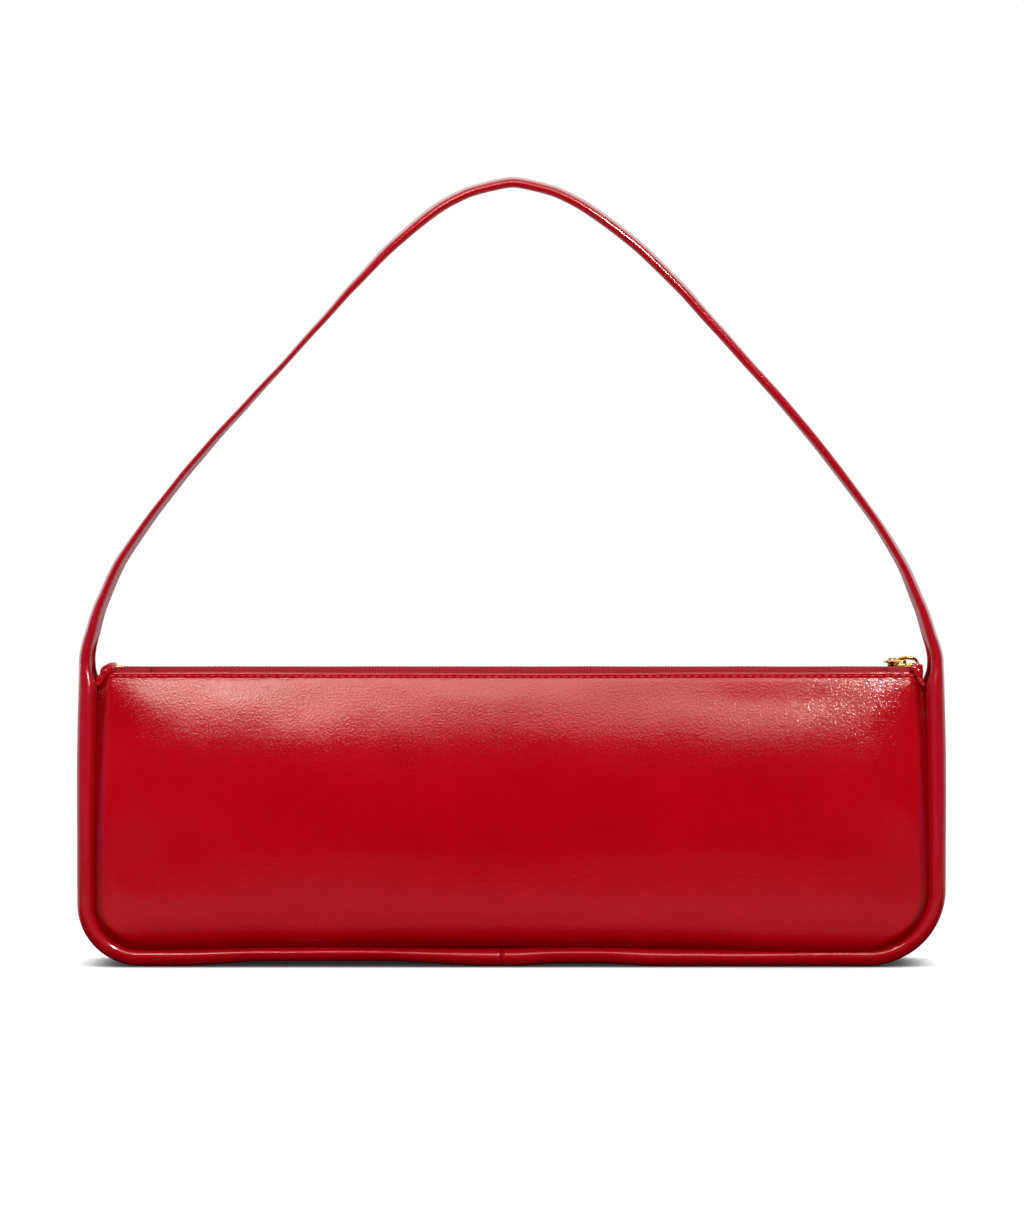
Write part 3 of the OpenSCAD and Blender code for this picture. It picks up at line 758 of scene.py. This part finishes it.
def band_section(station):
    """The band's section, from the middle of its outer face round both edges."""
    strap = station.strap
    edge = []
    for rim, roll in zip(RIM_EDGE, STRAP_EDGE):
        deep = between(rim[0], roll[0] * station.thick, strap)
        edge.append((deep, station.half + between(rim[1], roll[1], strap)))
    crown = 0.18 * strap + 1.1 * smooth((station.z - 50) / 40) * (1 - smooth((station.z - 150) / 60))
    across = (-0.66, -0.33, 0.0, 0.33, 0.66)
    outer = [(-crown * math.cos(math.pi / 2 * q), q * edge[0][1]) for q in across]
    inner = [(edge[-1][0], q * edge[-1][1]) for q in reversed(across)]
    return outer + edge + inner + [(deep, -wide) for deep, wide in reversed(edge)]


def seam_ends(ring):
    """The two ends of the band, which meet at the seam in the base with a fine gap."""
    first = [Vector((p.x + 0.05, p.y, p.z)) for p in ring]
    last = [Vector((SEAM_X - 0.05, p.y, p.z)) for p in ring]
    for p in first + last:
        p.y -= math.copysign(0.25, p.y) * smooth((abs(p.y) - 12) / 12)
        p.z += 0.15
    return first, last


def band():
    """Gusset, rolled rims and strap, in one skin that starts and ends at the seam in the base."""
    rings = []
    for station, side in up_and_down(band_stations(1), band_stations(-1)[1:-1]):
        if station.x < 100 and station.z < 1:
            share = 1 - station.x / 100
            station = station._replace(x=station.x + side * SEAM_X * share)
        rings.append(settled_ring(band_section(station), station, side))
    first, last = seam_ends(rings[0])
    skin = skinned([first] + rings[1:] + [last])
    nodes = ["gusset_left", "gusset_right", "strap_root_left", "strap_root_right", "strap_outer"]
    piece = finish_piece(skin, "band_leather", RIM_LEATHER, None, nodes)
    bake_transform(piece)


def band_stations(side):
    return base_stations(side) + root_stations() + leg_stations(side)


def strap_facing():
    """The strip of leather that faces the strap's inner side."""
    half = [(0.9, -7.7), (0.3, -7.9), (0.1, -7.5), (0.08, -3)]
    outline = half + [(under, -wide) for under, wide in reversed(half)]
    rings = []
    for station, side in up_and_down(leg_stations(1), leg_stations(-1)[:-1]):
        sunk = 1.6 * smooth((135 - station.z) / 14)
        section = [(station.thick - under - sunk, wide) for under, wide in outline]
        rings.append(settled_ring(section, station, side))
    finish_piece(skinned(rings), "strap_facing", STRAP_LEATHER, "strap", ["strap_inner"])


def stitch_row(name, node, back):
    """Short slanted stitches that sink into the leather at both ends."""
    rows = bmesh.new()
    rng = random.Random(5 if back else 3)
    turn = 1 if back else -1
    for i in range(-52, 53):
        x = i * STITCH_PITCH
        z = STITCH_Z + top_line(x, 2 if back else 1) - BODY_H + rng.uniform(-0.06, 0.06)
        y = hem_face(x, BODY_H) + 0.02
        tilt = math.radians(4 + rng.uniform(-2, 2))
        one = bmesh.new()
        bmesh.ops.create_uvsphere(one, u_segments=8, v_segments=6, radius=1)
        lying = Matrix.Rotation(math.radians(90), 3, "Y")
        bmesh.ops.rotate(one, verts=one.verts, cent=(0, 0, 0), matrix=lying)
        for corner in one.verts:
            p = corner.co
            along = p.x * 1.15
            out = y - 0.12 * p.x * p.x + p.y * 0.3
            corner.co = Vector((x + along, turn * out, z + p.z * 0.27 + along * math.sin(tilt))) * MM
        add_part(rows, one)
    finish_piece(rows, name, THREAD, "bag_body", [node], NO_MERGE)


def tooth(rows, x, back):
    """One tooth: a clamp round the tape's edge with a rounded head."""
    one = bevelled((1.0, 4.0, 2.2), 0.22, 1)
    side = -1 if back else 1
    for corner in one.verts:
        p = corner.co
        head = smooth((p.y + 0.2) / 1.6)
        wide = p.x * (1 - 0.12 * head)
        high = p.z * (1 - 0.24 * head)
        corner.co = Vector((x + 0.5 + wide, side * (p.y - 1.4), TAPE_Z + high)) * MM
    add_part(rows, one)


def teeth(name, spans, body, node):
    """Teeth whose places lie in the spans (from, to, back). Those of one row stand between the other's."""
    rows = bmesh.new()
    for x0, x1, back in spans:
        first = TEETH_X0 + (TOOTH_PITCH / 2 if back else 0.0)
        for i in range(-2, 140):
            x = first + i * TOOTH_PITCH
            if x0 <= x < x1:
                tooth(rows, x - 0.5, back)
    finish_piece(rows, name, OLD_GOLD, body, [node], NO_MERGE)


def tape_line(x, inner):
    """The tape's section at x, from inside the hem up and over to the teeth."""
    low = face_y(x, 112) - 2.75
    high = 6.6
    line = [(low, 108.6), (low - 0.6, 111), (between(low, high, 0.6), 114), (high + 0.1, 116.4)]
    line += [(6.5, 117.9), (6.2, 119.2), (5.7, 119.9), (5.1, 119.9), (4.4, 119.5), (3.0, 119.15)]
    line.append((1.9, TAPE_Z + 0.1))
    if inner:
        return [(y - 0.42 if z < 118.6 else y - 0.12, z if z < 117.5 else z - 0.45) for y, z in line]
    return line


def tape_rings(x0, x1, back):
    """Sections of a length of tape, with the faint drift of woven cloth."""
    columns = int((x1 - x0) / 3)
    rings = []
    for i in range(columns + 1):
        x = between(x0, x1, i / columns)
        drift = 0.1 * wave(x, 0, 21, 4 if back else 2)
        ring = []
        for inner in (False, True):
            line = [(y, z + drift * smooth((z - 112) / 5), 0) for y, z in tape_line(x, inner)]
            ring += evened(line, 20)[::-1 if inner else 1]
        rings.append([(x, p.x, p.y - 0.75 * corner_dip(x, p.y)) for p in ring])
    return rings


def zip_tapes():
    for word, back in SIDES:
        turn = 1 if back else -1
        tape = f"zip_tape_{word}"
        skin = skinned(tape_rings(FLAP_X0, FLAP_X1, back), turn)
        piece = finish_piece(skin, f"tape_{word}", ZIP_TAPE, None, [f"zip_flap_{word}", tape])
        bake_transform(piece)
        for end, x0, x1 in (("left", -163.5, FLAP_X0 - 0.12), ("right", FLAP_X1 + 0.12, 166.0)):
            skin = skinned(tape_rings(x0, x1, back), turn)
            finish_piece(skin, f"tape_{word}_{end}", ZIP_TAPE, "bag_body", [tape])


def zip_metal():
    for word, back in SIDES:
        row = [(FLAP_X0, FLAP_X1, back)]
        teeth(f"zip_teeth_{word}_row", row, f"mouth_{word}", f"zip_teeth_{word}")
    ends = [(STOP_X + 0.5, FLAP_X0), (FLAP_X1, WEDGE_X - 0.7)]
    spans = [(a, b, back) for a, b in ends for back in (False, True)]
    teeth("zip_teeth_ends", spans, "bag_body", "zip_end_teeth")


def metal_piece(bm, name, body, node):
    finish_piece(bm, name, GOLD, body, [node], NO_MERGE)


def zip_stops():
    fixed = bmesh.new()
    add_block(fixed, (4.2, 5.6, 2.5), (-159.6, 0, TAPE_Z + 0.15), 0.55, 4)
    metal_piece(fixed, "zip_fixed_stop", "bag_body", "zip_bottom_stop")
    open_end = bmesh.new()
    for side in (-1, 1):
        add_block(open_end, (0.9, 1.7, 2.1), (165.95, side * 2.3, TAPE_Z), 0.25)
    metal_piece(open_end, "zip_open_stops", "bag_body", "zip_top_stops")


def rounded(p, size, power):
    """A point of a block of that size, pressed into a soft pillow."""
    u = [abs(at) * 2 / length for at, length in zip(p, size)]
    total = sum(share ** power for share in u)
    return p * (max(u) / total ** (1 / power))


def pillow(parts, size, middle, power, ripple):
    """A soft block of leather."""
    one = bmesh.new()
    bmesh.ops.create_cube(one, size=1)
    bmesh.ops.scale(one, verts=one.verts, vec=size)
    bmesh.ops.subdivide_edges(one, edges=one.edges, cuts=7, use_grid_fill=True)
    for corner in one.verts:
        p = rounded(corner.co, size, power)
        p += Vector((0.4, 0, 0.5)) * ripple * noise.noise(p * 0.45)
        corner.co = (p + Vector(middle)) * MM
    add_part(parts, one)


LEFT_FOLD = [(-160.6, 119.5), (-163.1, 118.5), (-164.9, 116.9), (-166.1, 114.9), (-167.4, 112.4)]
RIGHT_FOLD = [(161.2, 119.5), (163.6, 119.0), (164.7, 117.3), (164.8, 115.0), (166.6, 112.4)]


def corner_folds(parts, course, thick):
    """Rolls of leather that run from the zip's end down to the strap's root, front and back."""
    way = evened([(x, z, 0) for x, z in course], 28)
    last = len(way) - 1
    for back in (-1, 1):
        def place(u, v):
            i = round(u * last)
            p = way[i]
            line = (way[min(i + 1, last)] - way[max(i - 1, 0)]).normalized()
            a = 2 * math.pi * v
            swell = 1 + 0.09 * math.sin(i * 0.7) + 0.05 * math.sin(i * 1.6 + back)
            reach = thick * swell * math.cos(a)
            y = back * (between(7.2, 8.6, u) + 1.5 * swell * math.sin(a))
            return (p.x + line.y * reach, y, p.y - line.x * reach)
        add_part(parts, grid(last, 16, place))


def end_tabs():
    """Leather over the zip's left end, and folded leather behind its right end."""
    left = bmesh.new()
    pillow(left, (6.6, 15.0, 3.6), (-163.6, 0, TAPE_Z + 0.95), 3.0, 1.2)
    for corner in left.verts:
        corner.co.z -= 0.55 * max(0.0, -0.1628 - corner.co.x)
    corner_folds(left, LEFT_FOLD, 1.5)
    end_tab(left, "left")
    right = bmesh.new()
    pillow(right, (1.1, 13.0, 8.2), (166.2, 0, 116.9), 4.0, 0.4)
    for side in (-1, 1):
        pillow(right, (3.2, 3.0, 5.6), (164.2, side * 7.2, 118.4), 2.8, 1.6)
    corner_folds(right, RIGHT_FOLD, 1.15)
    end_tab(right, "right")


def end_tab(bm, end):
    name = f"end_tab_{end}"
    finish_piece(bm, name, RIM_LEATHER, "bag_body", [f"zip_{name}"], NO_MERGE)


def slider_outline(t):
    """Half width of the slider's plates along its length: wide at the open end."""
    return between(3.9, 4.8, smooth((t + 0.2) / 0.9)) * (1 - max(0.0, abs(t) - 0.72) ** 2 * 3.2)


def slider_plate(parts, low, high):
    one = bmesh.new()
    bmesh.ops.create_grid(one, x_segments=24, y_segments=12, size=1)
    for corner in one.verts:
        t = corner.co.x
        corner.co = Vector((t * 5.0, corner.co.y * slider_outline(t), 0))
    shape = bmesh.ops.extrude_face_region(one, geom=list(one.faces))
    for corner in shape["geom"]:
        if isinstance(corner, bmesh.types.BMVert):
            corner.co.z = 1.0
    rim = [e for e in one.edges if e.calc_face_angle(0) > 0.7]
    bevel(one, rim, 0.16, 2)
    for corner in one.verts:
        p = corner.co
        corner.co = Vector((SLIDER_X + p.x, p.y, between(low, high, p.z))) * MM
    add_part(parts, one)


def slider():
    parts = bmesh.new()
    slider_plate(parts, TAPE_Z + 1.3, PLATE_TOP)
    slider_plate(parts, TAPE_Z - 2.0, TAPE_Z - 1.3)
    for side in (-1, 1):
        for up in (-1, 1):
            add_block(parts, (9.0, 0.9, 0.9), (SLIDER_X, side * 4.25, TAPE_Z + up * 0.92), 0.15)
    add_block(parts, (3.0, 2.4, 2.7), (WEDGE_X + 1.5, 0, TAPE_Z), 0.3)
    add_block(parts, (3.6, 1.9, 0.5), (SLIDER_X - 0.2, 0, PLATE_TOP + 0.12), 0.18)
    metal_piece(parts, "slider", "slider", "slider_body")


def squared(share):
    """A sine or cosine drawn out towards 1, which makes a circle squarer."""
    return math.copysign(abs(share) ** 0.6, share)


def bail():
    """The arch on the slider: its feet spread where they meet the plate."""
    half = [(-4.6, 0.0), (-4.4, 0.9), (-3.7, 1.75), (-2.5, 2.3), (-1.0, 2.5)]
    line = evened([(x, z, 0) for x, z in half] + [(-x, z, 0) for x, z in reversed(half)], 61)

    def place(u, v):
        i = round(u * 60)
        p = line[i]
        way = (line[min(i + 1, 60)] - line[max(i - 1, 0)]).normalized()
        out = Vector((-way.y, way.x))
        if out.y < 0 and abs(way.x) > 0.3:
            out = -out
        foot = 1 + 0.5 * max(0.0, abs(2 * u - 1) - 0.75) / 0.25
        wide = 1.35 * foot * squared(math.cos(2 * math.pi * v))
        deep = (0.5 + 0.36 * math.sin(math.pi * u)) * squared(math.sin(2 * math.pi * v))
        return (SLIDER_X + p.x + out.x * deep, wide, PLATE_TOP - 0.05 + max(0.0, p.y + out.y * deep))
    finish_piece(grid(60, 24, place), "slider_arch", GOLD, "slider", ["slider_bail"])


def ring():
    """A rounded oblong wire ring."""
    r = 1.7
    x = 3.9 - r
    near = -2.85 + r
    far = EYE_Y - r
    line = []
    for cx, cy, start in ((x, far, 0), (-x, far, 90), (-x, near, 180), (x, near, 270)):
        for i in range(9):
            a = math.radians(start + 90 * i / 8)
            line.append(Vector((cx + r * math.cos(a), cy + r * math.sin(a), 0)))
    count = len(line)

    def place(u, v):
        i = round(u * count) % count
        way = (line[(i + 1) % count] - line[i - 1]).normalized()
        a = 2 * math.pi * v
        p = line[i] + Vector((way.y, -way.x, 0)) * RING_WIRE_R * math.cos(a)
        return (RING_X + p.x, p.y, RING_Z + RING_WIRE_R * math.sin(a))
    finish_piece(grid(count, 20, place), "pull_ring", GOLD, "ring", ["puller_ring"])


def tab_half_width(t):
    """Half width of the pull tab at share t of the way down from its eye."""
    if t > 0.88:
        return 3.5 * math.sqrt(max(0.0, 1 - ((t - 0.88) / 0.12) ** 2))
    return between(2.3, 3.5, smooth(t / 0.88))


def pull_tab():
    """A long flat tab with a raised border and a rolled eye."""
    lean = math.radians(27)
    down = Vector((0, math.sin(lean), -math.cos(lean)))
    out = Vector((0, math.cos(lean), math.sin(lean)))

    def skin(u, t, face):
        q = 2 * u - 1
        wide = max(tab_half_width(t), 0.02)
        border = smooth((abs(q) * wide - wide + 1.0) / 0.4) + smooth((t - 0.955) / 0.02)
        deep = 0.75 - 0.3 * (1 - min(1.0, border)) * smooth((t - 0.12) / 0.04)
        deep *= 1 - max(0.0, abs(q) - 0.93) * 3
        return Vector((RING_X + q * wide, EYE_Y, RING_Z)) + down * (0.9 + 25.1 * t) + out * deep * face
    bm = two_skins(20, 60, skin, 1, -1)
    add_part(bm, grid(2, 32, eye_ring))
    finish_piece(bm, "pull_tab", GOLD, "tab", ["pull_tab"], 2e-5)


def eye_ring(u, v):
    """The skin of the tab's eye: along the outside and in to the bore."""
    a = 2 * math.pi * v
    r, x = ((EYE_OUTER_R, -EYE_HALF_W), (EYE_OUTER_R, EYE_HALF_W), (EYE_BORE_R, EYE_HALF_W))[round(u * 2)]
    return (RING_X + x, EYE_Y + r * math.cos(a), RING_Z + r * math.sin(a))


def lining_wall(name, node, back):
    turn = 1 if back else -1

    def at(u, v, deep):
        z = between(CREASE_Z + 1.2, BODY_H - 2.4 - corner_dip((2 * u - 1) * CREASE_X, BODY_H), v)
        x = panel_x(z, 1, 1.2) * math.sin(math.pi * (u - 0.5))
        sag = 0.35 * wave(x, z, 28, 8 if back else 6) + 0.35
        y = face_y(x, z) - 3.7 - (sag * smooth((BODY_H - 12 - z) / 20) + deep)
        return (x, turn * y, z)
    bm = two_skins(90, 44, at, 0.0, 0.35)
    finish_piece(bm, name, LINING, "bag_body", [node], NO_MERGE)


def slip_pocket():
    def at(u, v, deep):
        z = between(30, 92, v)
        x = between(-55, 55, u)
        gap = 0.5 * math.sin(math.pi * u) * smooth((v - 0.3) / 0.7)
        return (x, face_y(x, z) - 4.95 - deep - gap, z)
    bm = two_skins(60, 36, at, 0.0, 0.4)
    finish_piece(bm, "pocket", LINING, "bag_body", ["slip_pocket"], NO_MERGE)


def padding(name, node, back):
    """Foam under the panel, its edges cut back from the creases."""
    turn = 1 if back else -1

    def at(u, v, deep):
        z = between(16, 106, v)
        x = (panel_x(z) - 11) * (2 * u - 1)
        y = face_y(x, z) - LEATHER - 0.25 - deep
        return (x, turn * y, z + belly_lift(x, z))
    finish_piece(two_skins(70, 40, at, 0.0, 1.6), name, FOAM, "bag_body", [node], NO_MERGE)


def end_lining():
    """The lining of the gusset, with its edges turned in to the seams."""
    face = [(8.3, 5.6), (4.55, 6.5), (3.4, 8.4)]
    reverse = [(3.85, 8.7), (4.85, 7.1), (8.3, 6.1)]
    half = base_stations(1)
    rings = []
    for station, side in from_left(half, half):
        inner = station.half - 4.2 * smooth((station.z - 60) / 35)
        near = [(deep, at - inner) for deep, at in face]
        under = [(deep, at - inner) for deep, at in reverse]
        far = [(deep, -at) for deep, at in reversed(under + near)]
        rings.append(ring_points(near + far + under, station, side))
    finish_piece(skinned(rings), "end_lining", LINING, "bag_body", ["gusset_lining"])


def strap_filling():
    """The soft core between the strap's two layers of leather."""
    rings = []
    for station, side in up_and_down(leg_stations(1)[2:], leg_stations(-1)[2:-1]):
        section = [(station.thick * 0.3, wide) for wide in (-7, 0, 7)]
        section += [(station.thick * 0.62, wide) for wide in (7, 0, -7)]
        rings.append(settled_ring(section, station, side))
    finish_piece(skinned(rings), "strap_filling", CORD_FILL, "strap", ["strap_core"])


def rim_cord(name, node, back):
    """The filler cord inside the rolled rim."""
    turn = 1 if back else -1
    angles = [2 * math.pi * i / 10 for i in range(10)]
    rings = []
    for station, side in from_left(base_stations(-1), base_stations(1)):
        across = station.half - 4.3
        section = [(4.2 + 1.7 * math.sin(a), turn * (across + 1.7 * math.cos(a))) for a in angles]
        rings.append(settled_ring(section, station, side))
    finish_piece(skinned(rings), name, CORD_FILL, "bag_body", [node])


def base_board():
    """The board that the lining hides keeps its solid, with a material of its own."""
    mesh = frame["nodes"]["base_board"].data
    mesh.materials.clear()
    mesh.materials.append(BOARD)


class Surroundings(Nodes):
    """The nodes of the floor or the world, which look different to the camera and to other rays."""

    def __init__(self, owner):
        super().__init__(owner)
        self.tree.nodes.clear()

    def stepped(self, *span):
        return self.span(*span, "SMOOTHSTEP")

    def by_place(self, kind, socket):
        """The X, Y and Z of the place shaded."""
        place = self.add(kind).outputs[socket]
        return self.add("ShaderNodeSeparateXYZ", {"Vector": place}).outputs

    def close(self, kind, others, seen):
        """Ends in the shader seen for the camera, and in others for all other rays."""
        rays = self.add("ShaderNodeLightPath").outputs["Is Camera Ray"]
        mix = self.add("ShaderNodeMixShader", {"Fac": rays, 1: others, 2: seen})
        self.add(kind, {"Surface": mix.outputs["Shader"]})


def white_floor():
    """White with a faint shadow to the camera. Other rays find it dim in front of the bag."""
    material = bpy.data.materials.new("white_floor")
    nodes = Surroundings(material)
    # Ambient occlusion dims the floor's glow near the bag: a painted contact shadow.
    near_bag = nodes.add("ShaderNodeAmbientOcclusion", {"Distance": 0.016}, samples=8).outputs["AO"]
    glow = nodes.add("ShaderNodeEmission", {"Strength": nodes.stepped(near_bag, 0.15, 0.8, 0.02, 1.5)})
    paint = nodes.add("ShaderNodeBsdfDiffuse", {"Color": (0.9, 0.9, 0.9, 1)})
    mixed = {"Fac": 0.6, 1: paint.outputs["BSDF"], 2: glow.outputs["Emission"]}
    seen = nodes.add("ShaderNodeMixShader", mixed)
    y = nodes.by_place("ShaderNodeTexCoord", "Object")["Y"]
    front = nodes.stepped(y, -0.4, -0.08, 0.02, 0.36)
    # Just in front of the bag the floor's colour drops to black: a painted shadow that the lower panel
    # reflects.
    near = nodes.reckon("MINIMUM", front, nodes.stepped(y, -0.052, -0.037, 0.36, 0.0))
    bright = nodes.reckon("MAXIMUM", near, nodes.stepped(y, -0.02, 0.1, 0.0, 0.9))
    dim = nodes.add("ShaderNodeBsdfDiffuse", {"Color": bright})
    nodes.close("ShaderNodeOutputMaterial", dim.outputs["BSDF"], seen.outputs["Shader"])
    return material


def floor():
    bm = bmesh.new()
    bmesh.ops.create_grid(bm, x_segments=1, y_segments=1, size=6)
    plane = placed("floor", mesh_from(bm, "floor"))
    plane.location.z = -0.0002
    plane.data.materials.append(white_floor())


def world():
    """White to the camera. The bag stands between a white wall behind it and a dark room in front."""
    studio = bpy.data.worlds.new("studio")
    bpy.context.scene.world = studio
    nodes = Surroundings(studio)
    place = nodes.by_place("ShaderNodeNewGeometry", "Position")
    behind = nodes.stepped(place["Y"], 0.0, 0.45, 0.0, 1.0)
    left = nodes.stepped(place["X"], -0.45, -0.8, 0.0, 0.3)
    right = nodes.stepped(place["X"], 0.55, 0.9, 0.0, 0.2)
    above = nodes.stepped(place["Z"], 0.75, 0.95, 0.0, 0.7)
    white = nodes.reckon("MAXIMUM", behind, above)
    sides = nodes.reckon("MAXIMUM", left, right)
    tints = {}
    for channel, share in (("Red", 0.7), ("Green", 0.6), ("Blue", 1.7)):
        tints[channel] = nodes.reckon("MAXIMUM", white, nodes.reckon("MULTIPLY", sides, share))
    colour = nodes.add("ShaderNodeCombineColor", tints).outputs["Color"]
    room = nodes.add("ShaderNodeBackground", {"Color": colour}).outputs["Background"]
    seen = nodes.add("ShaderNodeBackground", {"Color": (1, 1, 1, 1)}).outputs["Background"]
    nodes.close("ShaderNodeOutputWorld", room, seen)


def softbox(name, place, aim, wide, high, watts):
    lamp = bpy.data.lights.new(name, "AREA")
    lamp.shape = "RECTANGLE"
    lamp.size = wide
    lamp.size_y = high
    lamp.energy = watts
    box = placed(name, lamp)
    box.location = place
    way = Vector(aim) - Vector(place)
    box.rotation_euler = way.to_track_quat("-Z", "Y").to_euler()
    return box


def lights():
    """Boxes above make the highlight along the bag's top; two broad ones only light the colour."""
    boxes = [
        softbox("top_box", (0.0, -0.55, 1.16), (0, 0, 0.1), 1.15, 0.54, 8),
        softbox("left_box", (-0.21, -0.36, 0.66), (-0.12, 0, 0.1), 0.2, 0.13, 0.8),
        softbox("right_box", (0.355, -0.326, 0.687), (0.15, 0, 0.1), 0.16, 0.1, 6.4)
    ]
    for box in boxes:
        box.visible_diffuse = False
        box.data.color = (1.0, 0.95, 0.88)
    fills = [
        softbox("left_fill", (-1.1, -2.1, 0.35), (0, 0, 0.08), 1.0, 0.7, 19.4),
        softbox("right_fill", (1.1, -2.1, 0.35), (0, 0, 0.08), 1.0, 0.7, 19.4),
        softbox("top_fill", (0.0, -0.9, 1.5), (0, 0, 0.1), 1.5, 1.5, 13)
    ]
    for fill in fills:
        fill.visible_glossy = False


def camera():
    sensor = 36
    picture_width = 0.4916
    distance = 1.6
    lens = bpy.data.cameras.new("camera")
    lens.lens = sensor * distance / picture_width
    lens.sensor_width = sensor
    view = placed("camera", lens)
    view.location = (0.0002, -0.025 - distance, 0.141)
    view.rotation_euler = (math.radians(90), 0, 0)
    bpy.context.scene.camera = view


def build():
    for seed, (word, back) in enumerate(SIDES, 1):
        panel(f"{word}_leather", f"{word}_panel", seed, back)
    band()
    strap_facing()
    for word, back in SIDES:
        stitch_row(f"{word}_stitches", f"top_stitching_{word}", back)
    zip_tapes()
    zip_metal()
    zip_stops()
    end_tabs()
    slider()
    bail()
    ring()
    pull_tab()
    for word, back in SIDES:
        lining_wall(f"{word}_lining_cloth", f"{word}_lining", back)
    slip_pocket()
    end_lining()
    for word, back in SIDES:
        padding(f"{word}_foam", f"{word}_padding", back)
    strap_filling()
    for word, back in SIDES:
        rim_cord(f"{word}_cord", f"rim_cord_{word}", back)
    base_board()


build()
floor()
world()
lights()
camera()
bpy.context.scene.view_settings.view_transform = "Standard"
